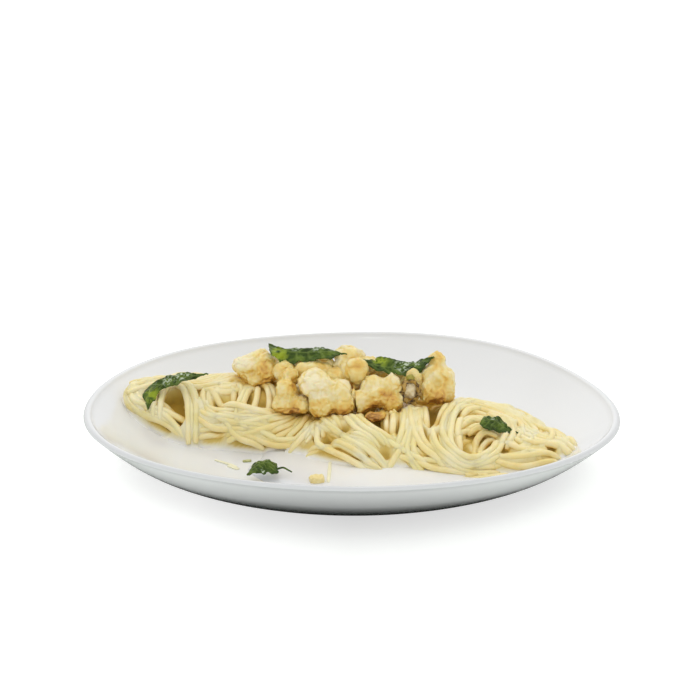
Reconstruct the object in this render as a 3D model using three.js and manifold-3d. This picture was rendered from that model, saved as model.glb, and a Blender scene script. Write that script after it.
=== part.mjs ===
// A plated meal: a heap of spaghetti in cream sauce on a round coupe plate, with battered
// chicken pieces on the heap and five fried leaves laid over it.
//
// Millimetres, +Z up. X runs along the plate's width and -Y is the diner's side. The origin is on
// the table, under the middle of the plate. Every piece is a closed solid with a small gap to the
// pieces that it rests on.

import * as THREE from "three";
import { mergeVertices } from "three/addons/utils/BufferGeometryUtils.js";
import Module from "manifold-3d";

const wasm = await Module();
wasm.setup();

const DEG = Math.PI / 180;
const FULL_TURN = 2 * Math.PI;
const GAP = 0.35; // between pieces that rest on each other

// The plate
const RIM_RADIUS = 126.6; // mean, to the outside of the lip
const RIM_HEIGHT = 28;
const LIP_THICKNESS = 3.4;
const WELL_RADIUS = 68; // where the flat well starts to curve up
const WELL_HEIGHT = 5; // top of the flat well
const WALL_CURVE = 2.1; // how late the wall turns up
const FOOT_RADIUS = 78;
const FOOT_WIDTH = 6;
const FOOT_RECESS = 2.2; // how far the underside is raised inside the foot ring
const OUTLINE_WANDER = [
  { waves: 2, swell: 4.0, towards: -3 * DEG },
  { waves: 3, swell: 2.1, towards: -42 * DEG },
  { waves: 4, swell: 1.5, towards: -33 * DEG },
  { waves: 5, swell: 1.0, towards: -13 * DEG },
];
const WANDER_FADE = 3; // how fast the wander dies out towards the foot

// The spaghetti lies as a long, low heap slantwise across the plate, from the far left to the
// near right. It was turned out in a few twirls, and each twirl is a dome: where it is, how far
// it reaches along and across the heap, how it is turned in degrees, and how high it stands.
const STRAND = 3.4; // thickness of one strand
const TWIRLS = [
  { x: -98, y: 24, along: 19, across: 20, turn: 70, rise: 10 },
  { x: -80, y: 25, along: 31, across: 31, turn: -10, rise: 21 },
  { x: -46, y: 20, along: 44, across: 35, turn: -14, rise: 27 },
  { x: 8, y: 3, along: 48, across: 44, turn: -24, rise: 20 },
  { x: 54, y: -7, along: 44, across: 43, turn: -24, rise: 19.5 },
  { x: 85, y: -32, along: 26, across: 25, turn: -35, rise: 9.5 },
];
const DOME_BLEND = 4; // higher numbers leave sharper valleys between the domes
const DOME_ROUNDNESS = 0.62; // lower numbers make the domes flatter on top and steeper at the foot
const HEAP_MIDDLE = { x: -2, y: 2 };
const HEAP_HALF_LENGTH = 118;
const HEAP_HALF_WIDTH = 42;
const HEAP_SLANT = -20 * DEG;
const BUNDLES = { count: 12, height: 1.6, swirl: 0.55 }; // ridges of strands, wound round the heap

// Cream sauce that has run out of the spaghetti into the near side of the well.
const POOL = { x: 13, y: -41, halfWidth: 66, halfDepth: 37, slant: -12 * DEG, depth: 1.7 };

// Bite-sized pieces of chicken in a knobbly batter. Each is a few lumps grown together, and each
// lump is its middle and its reach: x, y, z, half width, half depth, half height. A later piece
// is pressed against the earlier ones.
const KNOBS = 0.1; // depth of the batter's knobs, as a share of a lump's reach
const CHICKEN = {
  chicken_1: [
    [-52.5, 21, 38.5, 8.4, 8.5, 6.6],
    [-42, 17, 38.5, 7.8, 8.5, 8.4],
    [-46, 23, 42.4, 6.5, 6.5, 5],
    [-47, 18, 33, 8.5, 8, 4.5],
  ],
  chicken_2: [
    [-31, 7, 37, 6, 7, 6.5],
    [-32, -2, 33.5, 6, 6.5, 6],
    [-33, -3, 26, 6.8, 7, 5.8],
    [-25.3, -4, 26, 6, 6.5, 5.4],
  ],
  chicken_3: [
    [-18, 0, 35.8, 9.6, 9, 8.2],
    [-7, -1, 32.5, 8.2, 8.5, 6.6],
    [-14.5, -6, 27, 8.8, 8, 7],
    [-4, -5, 26.6, 7, 7.5, 7],
  ],
  chicken_4: [
    [-1, 18, 45, 9, 8, 5.9],
    [-1, 14, 38.5, 9.2, 8.5, 8],
    [-3, 9, 32, 8, 7, 5.5],
    [-17, 18, 38, 9.6, 7.5, 5.5],
  ],
  chicken_5: [
    [11, 2, 33.4, 8, 7.5, 7],
    [19.8, 2, 34, 6.6, 7, 7],
    [4.6, -3, 27.5, 6.6, 6.5, 7.2],
    [20, -3, 27, 6.6, 6.5, 6.2],
    [12.5, -1, 30, 8.8, 8, 6.4],
  ],
  chicken_6: [
    [14, 17, 35.5, 9, 7, 5.5],
    [25, 18, 34.6, 7.5, 7, 5.2],
  ],
  chicken_7: [
    [42.6, 13, 44, 5.2, 5.5, 5.6],
    [42, 9, 37.5, 10, 7.5, 6.4],
    [47, 7, 31, 6.2, 7, 9],
    [38, 4, 31, 6.2, 6.5, 7],
    [43.5, 1, 29.2, 5, 5, 5],
  ],
  chicken_8: [[12, -13, 23, 6.2, 4.5, 3.2]],
  crisp_curl: [[29, 3, 31.8, 5.6, 4.6, 6]],
};

// Fried leaves, crisp and thin, each folded up along its midrib and bowed along its length: the
// middle of the leaf, how steeply its halves rise, how far its middle stands above its ends, and
// how it is turned and tilted, in degrees.
const LEAF_THICKNESS = 0.8;
const LEAVES = {
  leaf_1: { x: -21.5, y: 13, length: 37, width: 14, fold: 16, bow: -2, yaw: -12, pitch: -4, roll: 16 },
  leaf_2: { x: 23, y: 9, length: 34, width: 14, fold: 20, bow: -5, yaw: 2, pitch: 3, roll: 18 },
  leaf_3: { x: -88, y: 12, length: 34, width: 11, fold: 20, bow: 6, yaw: 12, pitch: 22, roll: 16 },
  leaf_4: { x: 71, y: -27, length: 16, width: 11, fold: 20, bow: 1.5, yaw: -16, pitch: -12, roll: 12 },
  leaf_5: { x: -39, y: -51, length: 22, width: 13, fold: 18, bow: 3, yaw: 4, pitch: 0, roll: 4 },
};

const glaze = new THREE.MeshStandardMaterial({ color: 0xe8e9ea, roughness: 0.12, metalness: 0 });
const cream = new THREE.MeshStandardMaterial({ color: 0xf0e9d8, roughness: 0.25, metalness: 0 });
const pasta = new THREE.MeshStandardMaterial({ color: 0xe2cd98, roughness: 0.4, metalness: 0 });
const batter = new THREE.MeshStandardMaterial({ color: 0xe0c48e, roughness: 0.55, metalness: 0 });
const crisp = new THREE.MeshStandardMaterial({ color: 0xa08a5c, roughness: 0.5, metalness: 0 });
const leafGreen = new THREE.MeshStandardMaterial({ color: 0x3f6b22, roughness: 0.35, metalness: 0 });

// ---------------------------------------------------------------------- solids and booleans

// A closed geometry as a manifold solid: vertices are merged by position alone.
function toSolid(geometry) {
  const bare = geometry.clone();
  bare.deleteAttribute("normal");
  bare.deleteAttribute("uv");
  const merged = mergeVertices(bare, 1e-4);
  return new wasm.Manifold(
    new wasm.Mesh({
      numProp: 3,
      vertProperties: merged.attributes.position.array,
      triVerts: new Uint32Array(merged.index.array),
    }),
  );
}

// The geometry of a solid's largest piece: a cut can leave crumbs, which are dropped.
function toGeometry(solid) {
  const pieces = solid.decompose().sort((a, b) => b.volume() - a.volume());
  const mesh = pieces[0].getMesh();
  const positions = new Float32Array(mesh.numVert * 3);
  for (let i = 0; i < mesh.numVert; i++) {
    const from = i * mesh.numProp;
    positions.set(mesh.vertProperties.subarray(from, from + 3), i * 3);
  }
  const geometry = new THREE.BufferGeometry();
  geometry.setAttribute("position", new THREE.BufferAttribute(positions, 3));
  geometry.setIndex(new THREE.BufferAttribute(mesh.triVerts, 1));
  geometry.computeVertexNormals();
  return geometry;
}

function namedMesh(name, geometry, material) {
  const mesh = new THREE.Mesh(geometry, material);
  mesh.name = name;
  return mesh;
}

// A closed skin from rings of points that run from a first pole to a last pole. Each ring holds
// the same number of points and turns clockwise as seen from the last pole.
function skinFromRings(firstPole, rings, lastPole) {
  const around = rings[0].length;
  const points = [firstPole, ...rings.flat(), lastPole];
  const at = (ring, i) => 1 + ring * around + (i % around);
  const faces = [];
  for (let i = 0; i < around; i++) {
    faces.push(0, at(0, i), at(0, i + 1));
    for (let ring = 0; ring + 1 < rings.length; ring++) {
      faces.push(at(ring, i), at(ring + 1, i), at(ring + 1, i + 1));
      faces.push(at(ring, i), at(ring + 1, i + 1), at(ring, i + 1));
    }
    faces.push(at(rings.length - 1, i), points.length - 1, at(rings.length - 1, i + 1));
  }
  const geometry = new THREE.BufferGeometry().setFromPoints(points);
  geometry.setIndex(faces);
  geometry.computeVertexNormals();
  return geometry;
}

// ------------------------------------------------------------------------------------- plate
// A glazed coupe plate with no separate rim: a flat well that curves up to a thin round lip. Its
// outline is a circle with a soft, hand-shaped wander.

const PLATE_SECTORS = 54;
const UNDERSIDE_STEPS = 6;
const WALL_STEPS = 7;
const LIP_STEPS = 3;

// A nominal radius as it is in the direction of an angle, with the wander.
function plateRadius(nominal, angle) {
  const swell = OUTLINE_WANDER.reduce((sum, w) => sum + w.swell * Math.cos(w.waves * (angle - w.towards)), 0);
  return nominal + swell * (nominal / RIM_RADIUS) ** WANDER_FADE;
}

function innerHeight(nominal) {
  const lipMiddle = RIM_RADIUS - LIP_THICKNESS / 2;
  const share = Math.max(0, (nominal - WELL_RADIUS) / (lipMiddle - WELL_RADIUS));
  return WELL_HEIGHT + (RIM_HEIGHT - WELL_HEIGHT) * share ** WALL_CURVE;
}

// Height of the plate's inner surface over a point of the table.
function plateTop(x, y) {
  const radius = Math.hypot(x, y);
  const angle = Math.atan2(y, x);
  let nominal = radius;
  for (let i = 0; i < 5; i++) {
    nominal += radius - plateRadius(nominal, angle);
  }
  return innerHeight(nominal);
}

// The section from the middle of the underside, out round the lip and back to the middle.
function plateSection() {
  const foot = [
    new THREE.Vector2(FOOT_RADIUS / 2, FOOT_RECESS),
    new THREE.Vector2(FOOT_RADIUS - 1.5 * FOOT_WIDTH, FOOT_RECESS),
    new THREE.Vector2(FOOT_RADIUS - FOOT_WIDTH, 0),
  ];
  const under = new THREE.CubicBezierCurve(
    new THREE.Vector2(FOOT_RADIUS, 0),
    new THREE.Vector2(FOOT_RADIUS + 26, 3),
    new THREE.Vector2(RIM_RADIUS - 12, RIM_HEIGHT / 2),
    new THREE.Vector2(RIM_RADIUS, RIM_HEIGHT - LIP_THICKNESS / 2),
  ).getPoints(UNDERSIDE_STEPS);
  const half = LIP_THICKNESS / 2;
  const lip = [];
  for (let i = 1; i <= LIP_STEPS; i++) {
    const turn = (i / (LIP_STEPS + 1)) * Math.PI;
    lip.push(new THREE.Vector2(RIM_RADIUS - half + half * Math.cos(turn), RIM_HEIGHT - half + half * Math.sin(turn)));
  }
  const inside = RIM_RADIUS - LIP_THICKNESS;
  const inner = [];
  for (let i = 1; i <= WALL_STEPS; i++) {
    const nominal = inside - ((inside - WELL_RADIUS) * (i - 0.4)) / WALL_STEPS;
    inner.push(new THREE.Vector2(nominal, innerHeight(nominal)));
  }
  inner.push(new THREE.Vector2(WELL_RADIUS / 2, WELL_HEIGHT));
  return [...foot, ...under, ...lip, ...inner];
}

function plateRing(nominal, height) {
  const ring = [];
  for (let i = 0; i < PLATE_SECTORS; i++) {
    const angle = (-i / PLATE_SECTORS) * FULL_TURN;
    const radius = plateRadius(nominal, angle);
    ring.push(new THREE.Vector3(radius * Math.cos(angle), radius * Math.sin(angle), height));
  }
  return ring;
}

function makePlate() {
  const rings = plateSection().map((p) => plateRing(p.x, p.y));
  return skinFromRings(new THREE.Vector3(0, 0, FOOT_RECESS), rings, new THREE.Vector3(0, 0, WELL_HEIGHT));
}

// --------------------------------------------------------------------------------- spaghetti
// The heap is one solid out to its uneven outline. Its underside follows the plate, and bundles
// of strands wind over it as ridges from the middle to the foot.

const HEAP_SECTORS = 4 * BUNDLES.count;
const HEAP_RINGS = 10;
const HEAP_UNDER_RINGS = 3;
const RING_CROWDING = 0.85; // below 1 brings the rings closer together towards the foot
const HEAP_BLOCK_HEIGHT = 60;

// Height of the heap above its underside: the domes run into each other softly.
function heapRise(x, y) {
  let sum = 0;
  for (const t of TWIRLS) {
    const c = Math.cos(t.turn * DEG);
    const s = Math.sin(t.turn * DEG);
    const u = ((x - t.x) * c + (y - t.y) * s) / t.along;
    const v = (-(x - t.x) * s + (y - t.y) * c) / t.across;
    const inside = Math.max(0, 1 - u * u - v * v);
    sum += (t.rise * inside ** DOME_ROUNDNESS) ** DOME_BLEND;
  }
  return sum ** (1 / DOME_BLEND);
}

// The heap's foot, as points in equal turns of an oval: each lies where the heap has thinned to
// one strand. grown moves the foot outwards.
function heapFoot(grown) {
  const foot = [];
  for (let i = 0; i < HEAP_SECTORS; i++) {
    const turn = (i / HEAP_SECTORS) * FULL_TURN;
    const out = new THREE.Vector2(HEAP_HALF_LENGTH * Math.cos(turn), HEAP_HALF_WIDTH * Math.sin(turn));
    out.rotateAround(new THREE.Vector2(), HEAP_SLANT);
    let reach = 1.6;
    while (heapRise(HEAP_MIDDLE.x + out.x * reach, HEAP_MIDDLE.y + out.y * reach) < STRAND) {
      reach -= 0.005;
    }
    out.multiplyScalar(reach + grown / out.length());
    foot.push(out.add(new THREE.Vector2(HEAP_MIDDLE.x, HEAP_MIDDLE.y)));
  }
  return foot;
}

function makeHeap() {
  const foot = heapFoot(0);
  const bottom = (x, y) => plateTop(x, y) + 1.5 * GAP;
  const ridge = (share, i) => {
    const turn = (i / HEAP_SECTORS) * FULL_TURN;
    return BUNDLES.height * share * Math.sin(BUNDLES.count * (turn + BUNDLES.swirl * share * share));
  };
  const ring = (share, isTop) =>
    foot
      .map((p, i) => {
        const x = HEAP_MIDDLE.x + (p.x - HEAP_MIDDLE.x) * share;
        const y = HEAP_MIDDLE.y + (p.y - HEAP_MIDDLE.y) * share;
        return new THREE.Vector3(x, y, bottom(x, y) + (isTop ? heapRise(x, y) + ridge(share, i) : 0));
      })
      .reverse();
  const rings = [];
  for (let i = 1; i <= HEAP_UNDER_RINGS; i++) {
    rings.push(ring(i / HEAP_UNDER_RINGS, false));
  }
  for (let i = HEAP_RINGS; i >= 1; i--) {
    rings.push(ring((i / HEAP_RINGS) ** RING_CROWDING, true));
  }
  const { x, y } = HEAP_MIDDLE;
  const underside = new THREE.Vector3(x, y, bottom(x, y));
  const crown = new THREE.Vector3(x, y, bottom(x, y) + heapRise(x, y));
  return toSolid(skinFromRings(underside, rings, crown));
}

// A block that stands over the heap's foot, a little larger, to cut the pool round it.
function makeHeapBlock() {
  const shape = new THREE.Shape(heapFoot(2 * GAP));
  return toSolid(new THREE.ExtrudeGeometry(shape, { depth: HEAP_BLOCK_HEIGHT, bevelEnabled: false }));
}

// --------------------------------------------------------------------------------- sauce pool
// A shallow puddle with a rounded, uneven edge, cut round the foot of the heap.

const POOL_SECTORS = 42;
const POOL_RINGS = 3;
const POOL_EDGE = 0.5; // height of the puddle's rounded edge
const POOL_TOP_SHARE = 0.97; // the top is this much smaller than the bottom

function poolReach(angle) {
  return 1 + 0.05 * Math.sin(3 * angle + 1) + 0.035 * Math.sin(5 * angle + 2.2) + 0.02 * Math.sin(8 * angle);
}

function makePool() {
  const bottom = (x, y) => plateTop(x, y) + GAP;
  const top = (x, y) => Math.max(WELL_HEIGHT + GAP + POOL.depth, bottom(x, y) + POOL_EDGE);
  const ring = (share, heightAt) => {
    const points = [];
    for (let i = 0; i < POOL_SECTORS; i++) {
      const angle = (-i / POOL_SECTORS) * FULL_TURN;
      const reach = poolReach(angle) * share;
      const out = new THREE.Vector2(POOL.halfWidth * reach * Math.cos(angle), POOL.halfDepth * reach * Math.sin(angle));
      out.rotateAround(new THREE.Vector2(), POOL.slant);
      out.add(new THREE.Vector2(POOL.x, POOL.y));
      points.push(new THREE.Vector3(out.x, out.y, heightAt(out.x, out.y)));
    }
    return points;
  };
  const rings = [];
  for (let i = 1; i <= POOL_RINGS; i++) {
    rings.push(ring(i / POOL_RINGS, bottom));
  }
  for (let i = POOL_RINGS; i >= 1; i--) {
    rings.push(ring((POOL_TOP_SHARE * i) / POOL_RINGS, top));
  }
  const middle = (heightAt) => new THREE.Vector3(POOL.x, POOL.y, heightAt(POOL.x, POOL.y));
  return toSolid(skinFromRings(middle(bottom), rings, middle(top))).subtract(makeHeapBlock());
}

// ------------------------------------------------------------------------------------ chicken
// A lump is a sphere pushed in and out by crossed waves, a little differently on each lump.

const LARGE_LUMP = 9.1; // lumps that reach further get a finer mesh

function lumpSolid([x, y, z, rx, ry, rz], number, grown) {
  const ball = new THREE.IcosahedronGeometry(1, Math.max(rx, rz) > LARGE_LUMP ? 2 : 1);
  const positions = ball.attributes.position;
  const p = new THREE.Vector3();
  for (let i = 0; i < positions.count; i++) {
    p.fromBufferAttribute(positions, i);
    const broad = Math.sin(4.1 * p.x + 1.7 * number) * Math.sin(3.7 * p.y + 2.3 * number);
    const fine = Math.sin(6.3 * p.z + 3.1 * number) * Math.sin(5.9 * p.x - 1.1 * number);
    const stretch = 1 + KNOBS * (broad + 0.6 * fine);
    p.multiply(new THREE.Vector3(rx * stretch + grown, ry * stretch + grown, rz * stretch + grown));
    positions.setXYZ(i, x + p.x, y + p.y, z + p.z);
  }
  return toSolid(ball);
}

function chickenSolid(lumps, firstNumber, grown) {
  return lumps
    .map((lump, i) => lumpSolid(lump, firstNumber + i, grown))
    .reduce((whole, lump) => whole.add(lump));
}

// --------------------------------------------------------------------------------------- leaves

const LEAF_STEPS = 8;

// A point of the leaf's middle surface: along runs 0 to 1 from the stalk to the tip, and side is
// -1, 0 or 1 for an edge, the midrib and the other edge.
function leafPoint(leaf, along, side, lift) {
  const halfWidth = (leaf.width / 2) * Math.sin(Math.PI * (0.04 + 0.92 * along ** 0.85)) ** 0.9;
  const bowed = leaf.bow * (1 - (2 * along - 1) ** 2);
  return new THREE.Vector3(
    leaf.length * (along - 0.5),
    side * halfWidth * Math.cos(leaf.fold * DEG),
    bowed + Math.abs(side) * halfWidth * Math.sin(leaf.fold * DEG) + lift,
  );
}

function makeLeaf(leaf) {
  const half = LEAF_THICKNESS / 2;
  const rings = [];
  for (let i = 0; i <= LEAF_STEPS; i++) {
    const along = i / LEAF_STEPS;
    const lower = [1, 0, -1].map((side) => leafPoint(leaf, along, side, -half));
    const upper = [-1, 0, 1].map((side) => leafPoint(leaf, along, side, half));
    rings.push([...lower, ...upper]);
  }
  const stalk = leafPoint(leaf, 0, 0, 0).add(new THREE.Vector3(-1.5, 0, 0));
  const tip = leafPoint(leaf, 1, 0, 0).add(new THREE.Vector3(1.5, 0, 0));
  const geometry = skinFromRings(stalk, rings, tip);
  const turn = new THREE.Euler(leaf.roll * DEG, -leaf.pitch * DEG, leaf.yaw * DEG, "ZYX");
  geometry.applyMatrix4(new THREE.Matrix4().makeRotationFromEuler(turn));
  geometry.translate(leaf.x, leaf.y, 0);
  return geometry;
}

// Every point of a geometry that a straight line up or down from it meets a mesh at, with how
// far above the mesh's point it lies.
function heightsOver(geometry, meshes, upwards) {
  const far = 500;
  const ray = new THREE.Raycaster();
  const way = new THREE.Vector3(0, 0, upwards ? 1 : -1);
  const positions = geometry.attributes.position;
  const heights = [];
  for (let i = 0; i < positions.count; i++) {
    ray.set(new THREE.Vector3(positions.getX(i), positions.getY(i), -far * way.z), way);
    const hit = ray.intersectObjects(meshes, false)[0];
    if (hit) {
      heights.push(positions.getZ(i) - hit.point.z);
    }
  }
  return heights;
}

// Lowers a thin mesh from above until it lies one gap over what is under it.
function restOn(mesh, supports) {
  const above = supports.flatMap((support) => heightsOver(support.geometry, [mesh], true));
  const below = heightsOver(mesh.geometry, supports, false).map((height) => -height);
  mesh.geometry.translate(0, 0, Math.max(...above, ...below) + GAP);
}

// ------------------------------------------------------------------------------ the whole meal

const meal = new THREE.Group();
const outline = new THREE.Box3().setFromPoints(plateRing(RIM_RADIUS, RIM_HEIGHT));
const outlineMiddle = outline.getCenter(new THREE.Vector3());
meal.position.set(-outlineMiddle.x, -outlineMiddle.y, 0);

// The heap gives way under the chicken, and each piece of chicken under the earlier ones.
const chickenMeshes = [];
let heapSolid = makeHeap();
let taken = null;
Object.entries(CHICKEN).forEach(([name, lumps], i) => {
  const firstNumber = 5 * i;
  const whole = chickenSolid(lumps, firstNumber, 0);
  const grown = chickenSolid(lumps, firstNumber, GAP);
  const solid = taken ? whole.subtract(taken) : whole;
  heapSolid = heapSolid.subtract(grown);
  taken = taken ? taken.add(grown) : grown;
  chickenMeshes.push(namedMesh(name, toGeometry(solid), name === "crisp_curl" ? crisp : batter));
});

const supports = [
  namedMesh("plate", makePlate(), glaze),
  namedMesh("sauce_pool", toGeometry(makePool()), cream),
  namedMesh("spaghetti", toGeometry(heapSolid), pasta),
  ...chickenMeshes,
];
meal.add(...supports);

for (const [name, leaf] of Object.entries(LEAVES)) {
  const mesh = namedMesh(name, makeLeaf(leaf), leafGreen);
  restOn(mesh, supports);
  meal.add(mesh);
}

export default meal;
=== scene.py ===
import math
import random

import bpy
import numpy as np
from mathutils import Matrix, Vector, noise
from mathutils.bvhtree import BVHTree


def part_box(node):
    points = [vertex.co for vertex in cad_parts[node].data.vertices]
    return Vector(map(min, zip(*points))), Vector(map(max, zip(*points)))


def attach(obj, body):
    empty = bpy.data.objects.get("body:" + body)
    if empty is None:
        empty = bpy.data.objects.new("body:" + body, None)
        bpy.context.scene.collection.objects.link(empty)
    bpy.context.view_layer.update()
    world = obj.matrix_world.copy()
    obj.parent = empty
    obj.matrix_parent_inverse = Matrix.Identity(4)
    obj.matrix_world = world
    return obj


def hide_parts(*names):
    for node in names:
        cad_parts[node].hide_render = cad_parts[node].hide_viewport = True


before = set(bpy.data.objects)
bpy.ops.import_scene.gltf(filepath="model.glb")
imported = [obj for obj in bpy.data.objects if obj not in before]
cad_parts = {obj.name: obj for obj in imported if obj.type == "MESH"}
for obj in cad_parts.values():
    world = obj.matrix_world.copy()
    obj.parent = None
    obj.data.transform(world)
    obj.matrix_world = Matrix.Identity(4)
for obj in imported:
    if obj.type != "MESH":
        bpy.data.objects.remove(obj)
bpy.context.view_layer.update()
bpy.ops.object.select_all(action="DESELECT")

MM = 0.001  # sizes below are in millimetres, and Blender's are in metres

# ------------------------------------------------------------------- camera, floor and light
# A diner's view from the near side, on a plain white table in a white room. A large soft light
# hangs over the table, a broad low one fills from the front, and a small window glints overhead.

CAMERA_PLACE = (-0.000245, -0.77758, 0.28320)  # in metres, as all places in this section
CAMERA_DIP = 16.5
CAMERA_LENS = 85
CAMERA_SENSOR = 36
TABLE_WIDTH = 30
TABLE_DROP = 0.2 * MM  # how far the table lies under the foot ring
# Painted light: the table glows for the camera, most on the left and least in the middle.
TABLE_PAINTED_GLOW = [(0, 0.68), (0.27, 0.76), (0.5, 0.62), (0.7, 0.66), (1, 0.66)]  # the table as seen
TABLE_SPAN = 0.16  # half the width that this glow runs over, from left to right
TABLE_SHADE = 0.5
TABLE_BOUNCE = 1.3  # the table as it lights the plate
TABLE_MIRRORED = 0.6  # and as the glaze mirrors it
# Painted shade: round the foot the table is near black, in the light it throws back and in the glaze's
# mirror.
TABLE_PAINTED_FOOT_SHADE = 0.03  # both of them close round the foot
NEAR_FOOT_SPAN = (0.119, 0.162)  # how far out that darker round starts to fade, and has faded
NEAR_FOOT_SQUEEZE = 1.4  # how many times as deep as wide it is
ROOM_WHITE = (0.99, 0.99, 0.985)
ROOM_LIGHT = 0.9
SOFT_LIGHTS = {  # direction, how many degrees of the sky each takes up, and strength
    "soft_box": ((-0.08, 0.75, 1.05), 50, 0.9),
    "front_fill": ((0.0, -1.20, 0.42), 80, 0.17),
}
WINDOW_PLACE = (0.016, -0.12, 1.0)
WINDOW_WIDTH = 0.07
WINDOW_POWER = 0.12

tilt = math.radians(90) - math.radians(CAMERA_DIP)
bpy.ops.object.camera_add(location=CAMERA_PLACE, rotation=(tilt, 0, 0))
camera = bpy.context.object
camera.data.lens = CAMERA_LENS
camera.data.sensor_width = CAMERA_SENSOR
bpy.context.scene.camera = camera
bpy.context.scene.view_settings.view_transform = "Standard"

bpy.ops.mesh.primitive_plane_add(size=TABLE_WIDTH, location=(0, 0, -TABLE_DROP))
floor = bpy.context.object
floor.name = "floor"
floor_paint = bpy.data.materials.new("white_table")
floor_paint.use_nodes = True
tree = floor_paint.node_tree
tree.nodes.clear()


def ramp_node(tree, source, stops):
    """Colours along a source value: stops are (value, (r, g, b))."""
    ramp = tree.nodes.new("ShaderNodeValToRGB")
    while len(ramp.color_ramp.elements) < len(stops):
        ramp.color_ramp.elements.new(0.5)
    for element, (value, colour) in zip(ramp.color_ramp.elements, stops):
        element.position = value
        element.color = (*colour, 1)
    tree.links.new(source, ramp.inputs["Fac"])
    return ramp.outputs["Color"]


def table_diffuse(white):
    """The table's matt white, which is a little warm."""
    shader = tree.nodes.new("ShaderNodeBsdfDiffuse")
    shader.inputs["Color"].default_value = (0.97 * white, white, 0.96 * white, 1)
    return shader.outputs["BSDF"]


def either(share, first, second):
    """The second shader where the share is 1, and the first elsewhere."""
    mix = tree.nodes.new("ShaderNodeMixShader")
    tree.links.new(share, mix.inputs["Fac"])
    tree.links.new(first, mix.inputs[1])
    tree.links.new(second, mix.inputs[2])
    return mix.outputs["Shader"]


def share_along(source, low, high):
    """A share that goes from 0 to 1 as a value goes from low to high."""
    share = tree.nodes.new("ShaderNodeMapRange")
    share.inputs["From Min"].default_value = low
    share.inputs["From Max"].default_value = high
    tree.links.new(source, share.inputs["Value"])
    return share.outputs["Result"]


# The table glows for the camera, painted light that makes its shadows look faint, most on the left
# and least in the middle. What it throws back onto the plate is plain white, and darker close round
# the foot, a painted shade where little light gets in.
place = tree.nodes.new("ShaderNodeTexCoord")
squeeze = tree.nodes.new("ShaderNodeVectorMath")
squeeze.operation = "MULTIPLY"
squeeze.inputs[1].default_value = (NEAR_FOOT_SQUEEZE, 1, 1)
tree.links.new(place.outputs["Object"], squeeze.inputs[0])
from_middle = tree.nodes.new("ShaderNodeVectorMath")
from_middle.operation = "LENGTH"
tree.links.new(squeeze.outputs["Vector"], from_middle.inputs[0])
open_table = share_along(from_middle.outputs["Value"], *NEAR_FOOT_SPAN)
sides = tree.nodes.new("ShaderNodeSeparateXYZ")
tree.links.new(place.outputs["Object"], sides.inputs[0])
along_table = share_along(sides.outputs["X"], -TABLE_SPAN, TABLE_SPAN)
glow_colour = ramp_node(tree, along_table, [(at, (g, g, g)) for at, g in TABLE_PAINTED_GLOW])
glow = tree.nodes.new("ShaderNodeEmission")
tree.links.new(glow_colour, glow.inputs["Color"])
seen = tree.nodes.new("ShaderNodeAddShader")
tree.links.new(glow.outputs["Emission"], seen.inputs[0])
tree.links.new(table_diffuse(TABLE_SHADE), seen.inputs[1])
# Round the foot, both of them get the painted shade.
bounce = either(open_table, table_diffuse(TABLE_PAINTED_FOOT_SHADE), table_diffuse(TABLE_BOUNCE))
mirrored = either(open_table, table_diffuse(TABLE_PAINTED_FOOT_SHADE), table_diffuse(TABLE_MIRRORED))
ray = tree.nodes.new("ShaderNodeLightPath")
bounce = either(ray.outputs["Is Glossy Ray"], bounce, mirrored)
table = either(ray.outputs["Is Camera Ray"], bounce, seen.outputs["Shader"])
table_out = tree.nodes.new("ShaderNodeOutputMaterial")
tree.links.new(table, table_out.inputs["Surface"])
floor.data.materials.append(floor_paint)

room = bpy.data.worlds.new("white_room")
bpy.context.scene.world = room
room.use_nodes = True
background = room.node_tree.nodes["Background"]
background.inputs["Color"].default_value = (*ROOM_WHITE, 1)
background.inputs["Strength"].default_value = ROOM_LIGHT

for name, (direction, spread, strength) in SOFT_LIGHTS.items():
    bpy.ops.object.light_add(type="SUN", location=direction)
    light = bpy.context.object
    light.name = name
    light.data.angle = math.radians(spread)
    light.data.energy = strength
    light.rotation_euler = (-Vector(direction)).to_track_quat("-Z", "Y").to_euler()
    light.visible_glossy = False
    light.select_set(False)

bpy.ops.object.light_add(type="AREA", location=WINDOW_PLACE)
window = bpy.context.object
window.name = "window"
window.data.size = WINDOW_WIDTH
window.data.energy = WINDOW_POWER
window.select_set(False)

# ------------------------------------------------------------------------------------- plate
# A white glazed coupe plate with no separate rim: a flat well that curves up to a thin round lip,
# on a low foot ring. Its section is spun once round, then pushed a little out of round.

RIM_RADIUS = 126.6
RIM_HEIGHT = 28
LIP = 3.4  # how thick the lip is
WELL_RADIUS = 68
WELL_HEIGHT = 5
WALL_CURVE = 2.1  # how much more the wall rises towards the lip
FOOT_RADIUS = 78
FOOT_WIDTH = 6
FOOT_RECESS = 2.2
FOOT_SLOPE = [(4, FOOT_RECESS), (1.4, 1.3), (0, 0)]  # its inner side: how far in, and how high
UNDER_WALL = [(FOOT_RADIUS + 26, 3), (RIM_RADIUS - 12, 14)]  # what the outer wall bends towards
SPIN_STEPS = 160
WANDER = [(2, 4.0, -3), (3, 2.1, -42), (4, 1.5, -33), (5, 1.0, -13)]  # waves, swell, towards
WANDER_FADE = 3  # how fast the swell dies away towards the middle
# A shadow painted on the outer wall towards the foot:
FOOT_PAINTED_SHADOW = (15, 6)  # how high up the outer wall it is darker, and over how much that fades


def plate_swell(nominal, angle):
    """How far the plate is pushed out of round, at a radius and in a direction."""
    swell = sum(s * np.cos(w * (angle - math.radians(t))) for w, s, t in WANDER)
    return swell * (nominal / RIM_RADIUS) ** WANDER_FADE


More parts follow.
